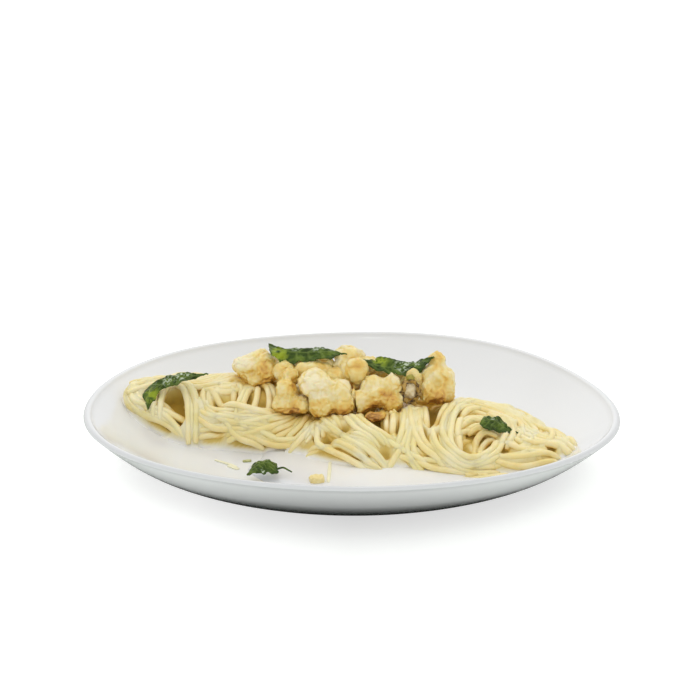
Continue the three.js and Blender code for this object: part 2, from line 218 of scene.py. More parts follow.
rim_turns = np.linspace(0, 2 * math.pi, 720)
rim_out = RIM_RADIUS + plate_swell(RIM_RADIUS, rim_turns)
rim_x = rim_out * np.cos(rim_turns)
rim_y = rim_out * np.sin(rim_turns)
PLATE_X = -(rim_x.max() + rim_x.min()) / 2
PLATE_Y = -(rim_y.max() + rim_y.min()) / 2


def inner_height(nominal):
    """Height of the glaze inside the plate, at a radius."""
    share = np.clip((nominal - WELL_RADIUS) / (RIM_RADIUS - LIP / 2 - WELL_RADIUS), 0, None)
    return WELL_HEIGHT + (RIM_HEIGHT - WELL_HEIGHT) * share**WALL_CURVE


def plate_top(x, y):
    """Height of the glaze over a point of the table, in mm."""
    radius = np.hypot(x - PLATE_X, y - PLATE_Y)
    angle = np.arctan2(y - PLATE_Y, x - PLATE_X)
    nominal = radius
    for _ in range(5):
        nominal = radius - plate_swell(nominal, angle)
    return inner_height(nominal)


def plate_section():
    """The plate's section as radius and height, from the underside's middle round to the well's."""
    points = [(0, FOOT_RECESS), (40, FOOT_RECESS)]
    points += [(FOOT_RADIUS - FOOT_WIDTH - inward, height) for inward, height in FOOT_SLOPE]
    pulls = [(FOOT_RADIUS, 0), *UNDER_WALL, (RIM_RADIUS, RIM_HEIGHT - LIP / 2)]
    for t in np.linspace(0, 1, 19):
        weights = ((1 - t) ** 3, 3 * t * (1 - t) ** 2, 3 * t * t * (1 - t), t**3)
        points.append(tuple(sum(w * p[k] for w, p in zip(weights, pulls)) for k in (0, 1)))
    for turn in np.linspace(0, math.pi, 9)[1:-1]:
        radius = RIM_RADIUS - LIP / 2 * (1 - math.cos(turn))
        points.append((radius, RIM_HEIGHT - LIP / 2 * (1 - math.sin(turn))))
    for radius in np.linspace(RIM_RADIUS - LIP, WELL_RADIUS, 28):
        points.append((radius, float(inner_height(radius))))
    return points + [(radius, WELL_HEIGHT) for radius in (50, 25, 0)]


def edit_all(piece):
    """Opens a piece's mesh for editing, with all of it selected."""
    bpy.context.view_layer.objects.active = piece
    bpy.ops.object.mode_set(mode="EDIT")
    bpy.ops.mesh.select_all(action="SELECT")


def close_up(merge=0):
    """Merges points nearer than this, in mm, turns all faces outward and ends the editing."""
    if merge:
        bpy.ops.mesh.remove_doubles(threshold=merge * MM)
    bpy.ops.mesh.normals_make_consistent(inside=False)
    bpy.ops.object.mode_set(mode="OBJECT")


def store(piece, name, values):
    """Keeps a value for each point of a piece, for its material to read."""
    piece.data.attributes.new(name, "FLOAT", "POINT").data.foreach_set("value", values)


section = plate_section()
plate_mesh = bpy.data.meshes.new("plate_glazed")
plate_mesh.from_pydata(
    [(r * MM, 0, z * MM) for r, z in section], [(i, i + 1) for i in range(len(section) - 1)], []
)
plate = bpy.data.objects.new("plate_glazed", plate_mesh)
bpy.context.scene.collection.objects.link(plate)
plate.select_set(True)
edit_all(plate)
bpy.ops.mesh.spin(steps=SPIN_STEPS, angle=2 * math.pi, center=(0, 0, 0), axis=(0, 0, 1))
bpy.ops.mesh.select_all(action="SELECT")
close_up(0.02)
# Painted shade on the lip's outer half keeps the lip from showing as a bright band.
lip_shade_shares = []
foot_shadow_shares = []
for vertex in plate.data.vertices:
    nominal = math.hypot(vertex.co.x, vertex.co.y) / MM
    outer_half = max(0, min(1, (nominal - RIM_RADIUS + 0.6 * LIP) / (0.35 * LIP)))
    lip_shade_shares.append(outer_half if vertex.co.z > (RIM_HEIGHT - LIP) * MM else 0)
    # Low on the underside, towards the foot, a shadow is painted on.
    under = vertex.co.z / MM < inner_height(nominal) - 1
    foot_share = (FOOT_PAINTED_SHADOW[0] - vertex.co.z / MM) / FOOT_PAINTED_SHADOW[1]
    foot_shadow_shares.append(max(0, min(1, foot_share)) if under else 0)
    angle = math.atan2(vertex.co.y, vertex.co.x)
    radius = nominal + plate_swell(nominal, angle)
    vertex.co.x = (PLATE_X + radius * math.cos(angle)) * MM
    vertex.co.y = (PLATE_Y + radius * math.sin(angle)) * MM
store(plate, "painted_lip_shade", lip_shade_shares)
store(plate, "painted_foot_shadow", foot_shadow_shares)
bpy.ops.object.shade_smooth_by_angle(angle=math.radians(40))


def new_material(name, roughness):
    """A material with its tree, and its Principled shader."""
    material = bpy.data.materials.new(name)
    material.use_nodes = True
    shader = material.node_tree.nodes["Principled BSDF"]
    shader.inputs["Roughness"].default_value = roughness
    return material, material.node_tree, shader


def noise_node(tree, scale, detail=3.0, roughness=0.55):
    """Noise on the piece's own coordinates, in waves for each metre."""
    place = tree.nodes.new("ShaderNodeTexCoord")
    texture = tree.nodes.new("ShaderNodeTexNoise")
    texture.inputs["Scale"].default_value = scale
    texture.inputs["Detail"].default_value = detail
    texture.inputs["Roughness"].default_value = roughness
    tree.links.new(place.outputs["Object"], texture.inputs["Vector"])
    return texture.outputs["Fac"]


def mix_node(tree, share, first, second):
    """Mixes two colours by a share from 0 to 1."""
    mix = tree.nodes.new("ShaderNodeMix")
    mix.data_type = "RGBA"
    for socket, value in ((mix.inputs[0], share), (mix.inputs[6], first), (mix.inputs[7], second)):
        if isinstance(value, bpy.types.NodeSocket):
            tree.links.new(value, socket)
        else:
            socket.default_value = value if isinstance(value, float) else (*value, 1)
    return mix.outputs[2]


def attribute_node(tree, name):
    """The value that is stored for each point of the piece."""
    attribute = tree.nodes.new("ShaderNodeAttribute")
    attribute.attribute_name = name
    return attribute.outputs["Fac"]


def bump_node(tree, shader, height, depth, strength):
    """Roughens a material's face by a noise, as deep as depth in mm."""
    bump = tree.nodes.new("ShaderNodeBump")
    bump.inputs["Distance"].default_value = depth * MM
    bump.inputs["Strength"].default_value = strength
    tree.links.new(height, bump.inputs["Height"])
    tree.links.new(bump.outputs["Normal"], shader.inputs["Normal"])


def mottled(name, roughness, waves, stops, bump=None):
    """A material whose colour follows a noise. bump is its own waves, depth and strength."""
    material, tree, shader = new_material(name, roughness)
    tree.links.new(ramp_node(tree, noise_node(tree, waves), stops), shader.inputs["Base Color"])
    if bump:
        bump_node(tree, shader, noise_node(tree, bump[0]), *bump[1:])
    return material


def coat(shader, share, roughness):
    """A clear glossy skin over a material."""
    shader.inputs["Coat Weight"].default_value = share
    shader.inputs["Coat Roughness"].default_value = roughness


def soften(shader, share, colours, reach):
    """Lets light sink into a material: how much, how far each colour spreads, and how far in mm."""
    shader.inputs["Subsurface Weight"].default_value = share
    shader.inputs["Subsurface Radius"].default_value = colours
    shader.inputs["Subsurface Scale"].default_value = reach * MM


glaze, tree, shader = new_material("white_glaze", 0.14)
tone = ramp_node(tree, noise_node(tree, 14), [(0.3, (0.75, 0.76, 0.77)), (0.7, (0.78, 0.79, 0.80))])
# Painted shade on the lip's outer half.
tone = mix_node(tree, attribute_node(tree, "painted_lip_shade"), tone, (0.60, 0.61, 0.62))
# And a painted shadow on the underside near the foot.
tone = mix_node(tree, attribute_node(tree, "painted_foot_shadow"), tone, (0.20, 0.215, 0.205))
tree.links.new(tone, shader.inputs["Base Color"])
coat(shader, 0.2, 0.06)
bump_node(tree, shader, noise_node(tree, 45, 2.0), 0.2, 0.35)
plate.data.materials.append(glaze)
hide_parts("plate")
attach(plate, "root")
plate.select_set(False)

# --------------------------------------------------------------------------------- cream sauce
# A shallow puddle of cream sauce that has run out of the spaghetti into the near side of the
# well. Its face is level, and its edge is a thin rounded lip on the glaze.

POOL_X = 13.4
POOL_Y = -42.0
POOL_HALF_WIDTH = 66
POOL_HALF_DEPTH = 37
POOL_SLANT = math.radians(-12)
POOL_REACH = 0.985  # its reach as a share of those, and its waves: how many, swell and start
POOL_WAVES = [(3, 0.05, 1), (5, 0.035, 2.2), (8, 0.02, 0)]
POOL_RINGS = (0.006, 0.012, 0.02, 0.03, 0.06, 0.12, 0.15, 0.15, 0.15, 0.12)  # widths, edge first
POOL_LEVEL = 7.05
POOL_LIFT = 0.06  # how far its lip stands off the glaze
POOL_FILM = 0.45  # how thick the cream stays on the rising wall of the plate
POOL_EDGE = 0.13  # share of its reach over which it thins out
POOL_UNEVEN = 0.12  # how uneven its face is, and how wide the unevenness is
UNEVEN_WIDTH = 9
POOL_SKIN = 0.05  # how thick the skin is that makes it a closed piece
POOL_TONES = [(0.35, (0.985, 0.955, 0.875)), (0.65, (0.99, 0.975, 0.925))]


def pool_reach(angle):
    """The pool's reach in a direction, as a share of its half width and half depth."""
    return sum((swell * math.sin(n * angle + start) for n, swell, start in POOL_WAVES), POOL_REACH)


bpy.ops.mesh.primitive_circle_add(vertices=144, radius=1, fill_type="NGON")
pool = bpy.context.object
pool.name = "cream_pool"
edit_all(pool)
for width in POOL_RINGS:
    bpy.ops.mesh.inset(thickness=width)
bpy.ops.mesh.poke()
bpy.ops.object.mode_set(mode="OBJECT")
cream_depths = []
for vertex in pool.data.vertices:
    share = math.hypot(vertex.co.x, vertex.co.y)
    angle = math.atan2(vertex.co.y, vertex.co.x)
    reach = pool_reach(angle) * share
    along = POOL_HALF_WIDTH * reach * math.cos(angle)
    across = POOL_HALF_DEPTH * reach * math.sin(angle)
    x = POOL_X + along * math.cos(POOL_SLANT) - across * math.sin(POOL_SLANT)
    y = POOL_Y + along * math.sin(POOL_SLANT) + across * math.cos(POOL_SLANT)
    glazed = float(plate_top(x, y))
    edge = 1 - max(0, 1 - (1 - share) / POOL_EDGE) ** 2
    depth = POOL_LIFT + max(POOL_LEVEL - glazed, POOL_FILM) * edge
    depth += POOL_UNEVEN * noise.noise(Vector((x / UNEVEN_WIDTH, y / UNEVEN_WIDTH, 0))) * edge
    cream_depths.append(min(1, 1.6 * (1 - share)))
    vertex.co = (x * MM, y * MM, (glazed + depth) * MM)
store(pool, "cream_depth", cream_depths)
thickness = pool.modifiers.new("thickness", "SOLIDIFY")
thickness.thickness = POOL_SKIN * MM
thickness.offset = -1
bpy.ops.object.modifier_apply(modifier="thickness")
bpy.ops.object.shade_smooth()

pool_cream, tree, shader = new_material("pooled_cream", 0.35)
tone = ramp_node(tree, noise_node(tree, 55), POOL_TONES)
tone = mix_node(tree, attribute_node(tree, "cream_depth"), (0.84, 0.84, 0.83), tone)
tree.links.new(tone, shader.inputs["Base Color"])
soften(shader, 0.25, (1.0, 0.8, 0.5), 2)
shader.inputs["Coat Weight"].default_value = 0.1
bump_node(tree, shader, noise_node(tree, 160, 2.0), 0.25, 0.5)
pool.data.materials.append(pool_cream)
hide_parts("sauce_pool")
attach(pool, "root")
pool.select_set(False)

# ----------------------------------------------------------------------------------- spaghetti
# Long cooked strands, 3.4 mm thick and coated in cream, turned out of the pan in a long heap.
# Deep inside, one core closes the heap, its dark gold partly butter and partly painted shade.
# Strands are laid on it one after another: each follows its path over the plate and comes to rest
# on what is already there.

STRAND = 3.4
STRAND_GIVE = 0.35  # how far soft strands press into each other
STRAND_POKE = 2.5  # how far they press into the chicken that lies on them
STEP = 1.3  # length of one piece of a strand
CORE_SINK = 8.0  # how far the core lies under the heap's face
SHEET = 0.4  # how thick the sheet of the core is, and that of the cream
CELL = 0.6  # width of one cell of the height map
MAP_X = -126.0
MAP_Y = -66.0
MAP_COLUMNS = 420
MAP_ROWS = 220
MAP_TOP = 200  # higher than anything on the plate, and as deep under it
MAP_MARGIN = 3  # cells at its edge that no strand's middle reaches
NOTHING = 999.0  # the height of a ceiling where there is none
PRESS = 0.25  # share of its height over its place that a strand of a lock keeps, for want of room
END_DIP = 2.6  # how deep the ends of strands sink in, and over what length
DIP_LENGTH = 7
SWAY_WAVES = (64, 30)  # lengths of the waves in which strands wander
SHORTEST = 8  # steps in the shortest strand


def node_copy(name, node):
    """A new object with its own merged copy of a CAD node's mesh."""
    copy = bpy.data.objects.new(name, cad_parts[node].data.copy())
    copy.data.materials.clear()
    bpy.context.scene.collection.objects.link(copy)
    copy.select_set(True)
    edit_all(copy)
    bpy.ops.mesh.remove_doubles(threshold=0.01 * MM)
    bpy.ops.object.mode_set(mode="OBJECT")
    return copy


def surface_of(mesh):
    """A search tree over a mesh's faces."""
    return BVHTree.FromPolygons([v.co for v in mesh.vertices], [p.vertices for p in mesh.polygons])


def height_map(trees, upwards, missing):
    """The first height that a straight line up or down meets over each cell, in mm."""
    heights = np.full((MAP_ROWS, MAP_COLUMNS), float(missing))
    way = Vector((0, 0, 1 if upwards else -1))
    far = (-MAP_TOP if upwards else MAP_TOP) * MM
    pick = min if upwards else max
    for row in range(MAP_ROWS):
        y = (MAP_Y + row * CELL) * MM
        for column in range(MAP_COLUMNS):
            x = (MAP_X + column * CELL) * MM
            for surface in trees:
                hit = surface.ray_cast(Vector((x, y, far)), way)[0]
                if hit:
                    heights[row, column] = pick(heights[row, column], hit.z / MM)
    return heights


def shifted(grid, rows, columns):
    """The height map moved by whole cells, its edge repeated."""
    padded = np.pad(grid, ((abs(rows), abs(rows)), (abs(columns), abs(columns))), mode="edge")
    top, left = abs(rows) + rows, abs(columns) + columns
    return padded[top : top + grid.shape[0], left : left + grid.shape[1]]


def rolled(grid, radius, pick, sign):
    """The face that a ball leaves as it rolls along a height map's face."""
    reach = int(radius / CELL)
    face = np.full_like(grid, NOTHING * -sign)
    for rows in range(-reach, reach + 1):
        for columns in range(-reach, reach + 1):
            flat = (rows**2 + columns**2) * CELL**2
            if flat <= radius**2:
                face = pick(face, shifted(grid, rows, columns) + sign * math.sqrt(radius**2 - flat))
    return face


def worn_down(grid, radius):
    """A height map whose peaks are taken down as a ball rolled under its face leaves them."""
    return rolled(grid, radius, np.minimum, -1)


def bridged(grid, radius):
    """A height map whose gaps are filled as far as a ball rolled over it doesn't reach."""
    return worn_down(rolled(grid, radius, np.maximum, 1), radius)


def blurred(grid, cells, rounds=2):
    """A height map eased by running averages, over so many cells to each side."""
    for _ in range(rounds):
        for axis in (0, 1):
            shifts = [(k, 0) if axis == 0 else (0, k) for k in range(-cells, cells + 1)]
            grid = sum(shifted(grid, *shift) for shift in shifts) / (2 * cells + 1)
    return grid


def relief(name, face, other, clear, every):
    """A closed sheet that follows a height map wherever it stands so much over another. every is
    how many cells lie from one of its points to the next."""
    columns = MAP_COLUMNS // every
    rows = MAP_ROWS // every
    bpy.ops.mesh.primitive_grid_add(x_subdivisions=columns - 1, y_subdivisions=rows - 1, size=2)
    piece = bpy.context.object
    piece.name = name
    bpy.ops.object.mode_set(mode="EDIT")
    bpy.ops.mesh.select_all(action="DESELECT")
    bpy.ops.object.mode_set(mode="OBJECT")
    for vertex in piece.data.vertices:
        column = int(round((vertex.co.x + 1) / 2 * (columns - 1))) * every
        row = int(round((vertex.co.y + 1) / 2 * (rows - 1))) * every
        vertex.co = (map_x[row, column] * MM, map_y[row, column] * MM, face[row, column] * MM)
        vertex.select = bool(face[row, column] < other[row, column] + clear)
    bpy.ops.object.mode_set(mode="EDIT")
    bpy.ops.mesh.select_mode(type="VERT")
    bpy.ops.mesh.delete(type="VERT")
    # Its underside is drawn out a metre down, and then brought back up to the sheet's thickness.
    bpy.ops.mesh.select_all(action="SELECT")
    bpy.ops.mesh.extrude_region_move(TRANSFORM_OT_translate={"value": (0, 0, -1)})
    close_up()
    for vertex in piece.data.vertices:
        if vertex.co.z < -0.5:
            vertex.co.z += 1 - SHEET * MM
    bpy.ops.object.shade_smooth()
    piece.select_set(False)
    return piece


chicken_nodes = [f"chicken_{i}" for i in range(1, 9)] + ["crisp_curl"]
map_x = MAP_X + CELL * np.arange(MAP_COLUMNS)
map_x, map_y = np.meshgrid(map_x, MAP_Y + CELL * np.arange(MAP_ROWS))
bare = plate_top(map_x, map_y)
heap_face = np.maximum(bare, height_map([surface_of(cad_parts["spaghetti"].data)], False, 0))
heap_face = np.maximum(blurred(heap_face, 2), bare)
core_face = blurred(worn_down(heap_face, CORE_SINK), 1)
core = relief("spaghetti_core", core_face, bare, 0.5, 2)
heights = np.maximum(bare, height_map([surface_of(pool.data)], False, 0))
ground = heights.copy()
heights = np.maximum(heights, core_face)
ceiling = height_map([surface_of(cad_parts[n].data) for n in chicken_nodes], True, NOTHING)

# Hollows are gaps between the strands that show the inside of the heap: x, y, half width, half
# depth and how deep they go. Strands of the lower layers stop at them. At the open ones the locks
# that show stop too, but for one.
HOLLOW_MARGIN = 1.5  # how far from a hollow strands stop
OPEN_HOLLOWS = [
    (-11, -25, 1.2, 0.9, 9),
    (-3.5, -22, 1.5, 0.9, 9),
    (16.5, -36.5, 1.8, 1.6, 3.5),
]
HOLLOWS = OPEN_HOLLOWS + [
    (-87.5, 6.5, 7.2, 8.5, 5.5),
    (-65.5, 3, 3.4, 3.2, 3.5),
    (-59, 2, 2, 2, 3.5),
    (-51, 3, 1.6, 3, 3.5),
    (-43.5, -2, 1.8, 4, 3.5),
    (-38.5, -4, 1.6, 4, 3.5),
    (-68, -8, 8, 1.6, 1.6),
    (-16.5, -20, 1.5, 3.5, 3.5),
    (0.5, -29.5, 1.2, 2.5, 3.5),
    (12.5, -19, 3.6, 8, 5),
    (19, -22, 1.1, 6, 3.5),
    (23.5, -23, 0.9, 4, 3.5),
    (40.5, -12, 4.2, 12, 7),
    (34.5, -31, 1.4, 6, 3.5),
    (45.5, -28, 1.2, 5, 3.5),
    (54.8, -40.5, 1.7, 4.5, 5.5),
    (53.5, -14, 2.2, 3, 2.5),
    (86, -20, 4.0, 3.0, 4),
    (90, -40.5, 2.4, 2.0, 4),
    (94.5, -46, 1.8, 1.6, 3.5),
    (90, -38, 2.4, 4.5, 2.5),
    (94.5, -49, 1.8, 1.8, 3),
    (72, -40, 3, 1.8, 2.5),
]

# What one point of a strand covers of the map: cells away in both ways, and its height there.
FOOT_CELLS = 2
foot = range(-FOOT_CELLS, FOOT_CELLS + 1)
foot_rows = np.array([row for row in foot for _ in foot])
foot_columns = np.array([column for _ in foot for column in foot])
foot_lift = np.sqrt((STRAND / 2) ** 2 - (foot_rows * CELL) ** 2 - (foot_columns * CELL) ** 2)


def map_cells(path):
    """The rows and columns of the cells that each point of a strand covers."""
    columns = np.rint((path[:, 0] - MAP_X) / CELL).astype(int)
    rows = np.rint((path[:, 1] - MAP_Y) / CELL).astype(int)
    columns = np.clip(columns, MAP_MARGIN, MAP_COLUMNS - 1 - MAP_MARGIN)
    rows = np.clip(rows, MAP_MARGIN, MAP_ROWS - 1 - MAP_MARGIN)
    return rows[:, None] + foot_rows, columns[:, None] + foot_columns


def eased(values, reach):
    """A running average over the strand's length, with the ends held."""
    weights = np.hanning(2 * reach + 3)[1:-1]
    padded = np.concatenate([np.repeat(values[:1], reach), values, np.repeat(values[-1:], reach)])
    return np.convolve(padded, weights / weights.sum(), mode="valid")


def smooth_path(points, step=STEP, count=None):
    """A smooth path through points in the plan or in space, in even steps or a count of them."""
    p = np.array(points, float)
    p = np.vstack([2 * p[0] - p[1], p, 2 * p[-1] - p[-2]])
    pieces = []
    t = np.linspace(0, 1, 24, endpoint=False)[:, None]
    for a, b, c, d in zip(p[:-3], p[1:-2], p[2:-1], p[3:]):
        bend = (2 * a - 5 * b + 4 * c - d) * t**2 + (3 * b - a - 3 * c + d) * t**3
        pieces.append(0.5 * (2 * b + (c - a) * t + bend))
    fine = np.vstack(pieces + [p[-2:-1]])
    length = np.concatenate([[0], np.cumsum(np.linalg.norm(np.diff(fine, axis=0), axis=1))])
    marks = np.linspace(0, length[-1], count or max(4, int(length[-1] / step)))
    return np.column_stack([np.interp(marks, length, side) for side in fine.T])


def lay_down(path, proud, press, dip=END_DIP):
    """Lays a strand on the heap along its plan path, and returns its middle line in mm. proud is
    how far its back may stand over the heap's face before it is pressed in among the others, and
    dip is how far its ends sink in between the strands under it."""
    rows, columns = map_cells(path)
    contact = (heights[rows, columns] + foot_lift).max(axis=1) - STRAND_GIVE
    face = heap_face[rows, columns].mean(axis=1) + proud - STRAND / 2
    contact = np.where(contact > face, face + press * (contact - face), contact)
    on_plate = bare[rows[:, -1], columns[:, -1]] + STRAND / 2
    contact = np.maximum(contact, on_plate)
    room_above = (ceiling[rows, columns] - foot_lift).min(axis=1) + STRAND_POKE
    z = contact
    for _ in range(3):
        z = np.maximum(contact, eased(z, 2))
    z = np.minimum(eased(eased(z, 2), 1), room_above)
    z = eased(z, 2)
    from_end = STEP * np.minimum(np.arange(len(z)), np.arange(len(z))[::-1])
    z = z - dip * np.clip(1 - from_end / DIP_LENGTH, 0, None) ** 2
    np.maximum.at(heights, (rows, columns), z[:, None] + foot_lift)
    return np.column_stack([path, z])


def sideways(path):
    """The way to the left of a path, at each of its points."""
    ahead = np.gradient(path, axis=0)
    ahead /= np.linalg.norm(ahead, axis=1, keepdims=True) + 1e-9
    return np.column_stack([-ahead[:, 1], ahead[:, 0]])


def wandering(path, rng, sway):
    """Moves a path gently from side to side, each strand in its own way."""
    length = np.arange(len(path)) * STEP
    shift = np.zeros(len(path))
    for wave in SWAY_WAVES:
        swing = sway * rng.uniform(0.4, 1)
        shift += swing * np.sin(2 * math.pi * (length / wave + rng.random())) * wave / SWAY_WAVES[0]
    return path + sideways(path) * shift[:, None]


def clear_stretches(path, hollows):
    """The stretches of a path that keep clear of every hollow."""
    clear = np.ones(len(path), bool)
    for x, y, half_width, half_depth, _ in hollows:
        across = (path[:, 0] - x) / (half_width + HOLLOW_MARGIN)
        along = (path[:, 1] - y) / (half_depth + HOLLOW_MARGIN)
        clear &= across**2 + along**2 > 1
    edges = np.flatnonzero(np.diff(np.concatenate([[0], clear.astype(int), [0]])))
    return [path[a:b] for a, b in zip(edges[::2], edges[1::2]) if b - a >= SHORTEST]


def lay_lock(count, spacing, proud, points, rng, sway=0.9, ragged=7, dip=END_DIP, gaps=OPEN_HOLLOWS):
    """Lays a lock of strands side by side along one guide. Each starts and stops a little sooner
    or later, within ragged mm, and leans across its neighbours."""
    guide = smooth_path(points)
    strands = []
    for i in sorted(range(count), key=lambda _: rng.random()):
        across = (i - (count - 1) / 2) * spacing + rng.uniform(-0.4, 0.4)
        lean = rng.uniform(-1.8, 1.8) * sway
        shift = across + lean * np.linspace(-0.5, 0.5, len(guide))
        path = guide + sideways(guide) * shift[:, None]
        start = int(rng.uniform(0, ragged) / STEP)
        stop = len(path) - int(rng.uniform(0, ragged) / STEP)
        path = wandering(path[start:stop], rng, sway)
        stand = proud + rng.uniform(-0.5, 0.5)
        for stretch in clear_stretches(path, gaps):
            strands.append(lay_down(stretch, stand, PRESS, dip))
    return strands


# Locks that show: how many strands, how far apart, how far they stand proud of the heap's face,
# and the guide that they follow in the plan.
BACK_LOCKS = [
    (5, 3.2, 0.6, [(-110, 30), (-98, 41), (-80, 49), (-58, 47), (-36, 43)]),
    (5, 3.3, 0.8, [(-72, 43), (-50, 47), (-26, 44), (-4, 37), (16, 30)]),
    (5, 3.3, 0.8, [(-20, 38), (4, 37), (28, 31), (50, 24), (72, 12)]),
    (4, 3.3, 0.6, [(40, 28), (60, 20), (80, 8), (94, -6), (103, -20)]),
    (4, 3.4, 1.0, [(-96, 32), (-80, 38), (-60, 36), (-44, 30), (-30, 24)]),
    (3, 3.4, 1.2, [(-30, 30), (-8, 28), (14, 26), (34, 20), (56, 14)]),
    (3, 3.3, 1.4, [(-90, 44), (-74, 42), (-64, 34), (-62, 24), (-70, 16)]),
    (3, 3.3, 1.2, [(16, 36), (30, 30), (42, 22), (56, 22), (66, 28)]),
    (2, 3.3, 1.4, [(-44, 42), (-30, 34), (-20, 36), (-8, 42), (6, 38)]),
    (4, 3.3, 0.8, [(56, 22), (66, 12), (80, 6), (92, 2)]),
]
LEFT_LOCKS = [
    (2, 3.0, 0.4, [(-84, -3.5), (-74, -5.5), (-64, -7), (-56, -9), (-46, -12), (-36, -14.5)]),
    (2, 3.0, 0.4, [(-104, 14), (-100, 8), (-92, 3.5), (-84, 1), (-76, -1.5), (-66, -4)]),
    (2, 2.8, 0.2, [(-99, 31), (-107, 29.5), (-111.3, 23), (-110.3, 15),
                   (-105.8, 8.6), (-98.8, 3.4), (-91, -0.4), (-83, -4)]),
    (3, 2.7, 0.2, [(-98, 30), (-106, 29), (-110.5, 23), (-109.5, 15),
                   (-104.5, 10), (-97, 5.5), (-89, 2), (-81, -1)]),
    (2, 3.1, 0.4, [(-74, -2), (-64, -5), (-54, -8), (-44, -11), (-32, -14)]),
    (5, 3.1, 0.8, [(-92, 26), (-80, 22), (-70, 23), (-60, 26), (-52, 23), (-45, 16)]),
    (3, 3.2, 0.4, [(-76, 12), (-68, 13), (-60, 11), (-52, 12), (-44, 12)]),
    (2, 3.2, 1.0, [(-70, 18), (-72, 10), (-70, 3), (-64, -3), (-56, -7), (-46, -9), (-34, -11)]),
    (3, 3.1, 0.8, [(-80, 12), (-76, 4), (-70, -1), (-62, -5), (-50, -8), (-38, -10)]),
    (1, 3.0, 0.6, [(-98, 9), (-93, 3), (-86, -2), (-79, -7)]),
    (2, 3.0, 0.6, [(-61, -1), (-58.5, -6), (-56, -10), (-50, -13.5), (-41, -15)]),
    (2, 3.0, 0.6, [(-60, -7), (-50, -11.5), (-41, -15), (-32, -17.5), (-24, -19)]),
    (2, 3.2, 1.0, [(-61, 17), (-57, 10), (-56.5, 2), (-57, -6)]),
    (2, 3.1, 0.8, [(-48, 14), (-51, 7), (-54, -1), (-55, -7)]),
    (1, 3.1, 1.2, [(-48, 15), (-46.5, 8), (-47, 0), (-49, -7)]),
    (1, 3.1, 1.4, [(-60, 23), (-50, 19), (-43, 12), (-40.5, 4), (-40.5, -3), (-42, -8)]),
    (1, 3.1, 1.4, [(-56, 25), (-46, 20), (-40, 11), (-37, 2), (-35.5, -7)]),
    (1, 3.1, 1.6, [(-75, 15), (-70, 11), (-66.5, 5.5), (-61, 0), (-54, -4), (-46, -6.5), (-36, -8)]),
    (2, 3.0, 1.2, [(-88, 22), (-83, 16), (-79.5, 9), (-77.5, 1), (-77, -7)]),
    (3, 2.7, 0.6, [(-98, 2), (-97.5, 8), (-96.5, 14), (-94, 20)]),
    (2, 3.2, 2.4, [(-96.5, 0), (-96.5, 7), (-95, 14), (-90.5, 18),
                   (-84, 15.5), (-80, 8), (-78.5, 0), (-78, -9)]),
]
# Strands at the heap's left end whose own ends lie free on the plate.
FREE_ENDS = [
    (1, 3.0, 1.4, [(-113, 28), (-107, 26.5), (-100, 23), (-92, 22)]),
    (1, 3.0, 1.4, [(-113, 18), (-107, 20.5), (-100, 20), (-92, 18)]),
    (1, 3.0, 1.6, [(-111, 24), (-104, 25), (-98, 25), (-91, 26)]),
]
MIDDLE_LOCKS = [
    (3, 3.2, 0.4, [(-28, 0), (-33, -6), (-42, -9), (-52, -9), (-60, -7.5)]),
    (3, 3.0, 0.4, [(-24, -2), (-27, -8), (-34, -11.5), (-43, -12.5)]),
    (4, 2.9, 0.6, [(-18, -3), (-21, -10), (-25, -15), (-32, -17)]),
    (3, 2.9, 0.6, [(-14, -4), (-17, -12), (-20, -18), (-25, -20)]),
    (3, 2.9, 0.2, [(-14, -22), (-7, -28), (1, -34), (9, -39), (18, -43.5)]),
    (3, 3.1, 0.8, [(-22, -20), (-14, -25), (-6, -31), (3, -37), (13, -41)]),
    (3, 2.9, 0.4, [(-18, -12), (-12, -20), (-4, -26), (4, -32), (12, -37)]),
    (3, 3.0, 0.4, [(-9, -4), (-12, -13), (-13, -20), (-12, -26), (-6, -28)]),
    (4, 3.2, 0.8, [(-13, -6), (-11, -15), (-5, -23), (3, -31), (11, -36.5), (19, -41)]),
    (3, 3.2, 0.8, [(4, -6), (6, -16), (12, -26), (20, -33), (29, -38), (38, -44)]),
    (3, 3.2, 1.0, [(-10, -5), (-8, -14), (-2, -22), (6, -30), (14, -36), (22, -40)]),
    (2, 3.2, 1.2, [(-4, -7), (-1, -15), (4, -24), (11, -31), (19, -36.5)]),
    (2, 3.3, 1.4, [(0, -7), (3, -16), (9, -25), (16, -31), (22, -35)]),
    (2, 3.2, 0.8, [(24, -4), (24, -14), (23, -24), (20, -33), (15, -40)]),
    (2, 3.0, 0.6, [(17, -1), (16.8, -14), (17, -27)]),
    (1, 3.0, 0.8, [(21, 1), (21, -14), (21, -28)]),
    (2, 3.2, 1.2, [(28.5, -1), (28.5, -14), (27, -26), (23, -35), (16, -41)]),
    (2, 3.2, 1.0, [(33, 0), (32.5, -14), (31, -26), (29, -36), (34, -44)]),
]
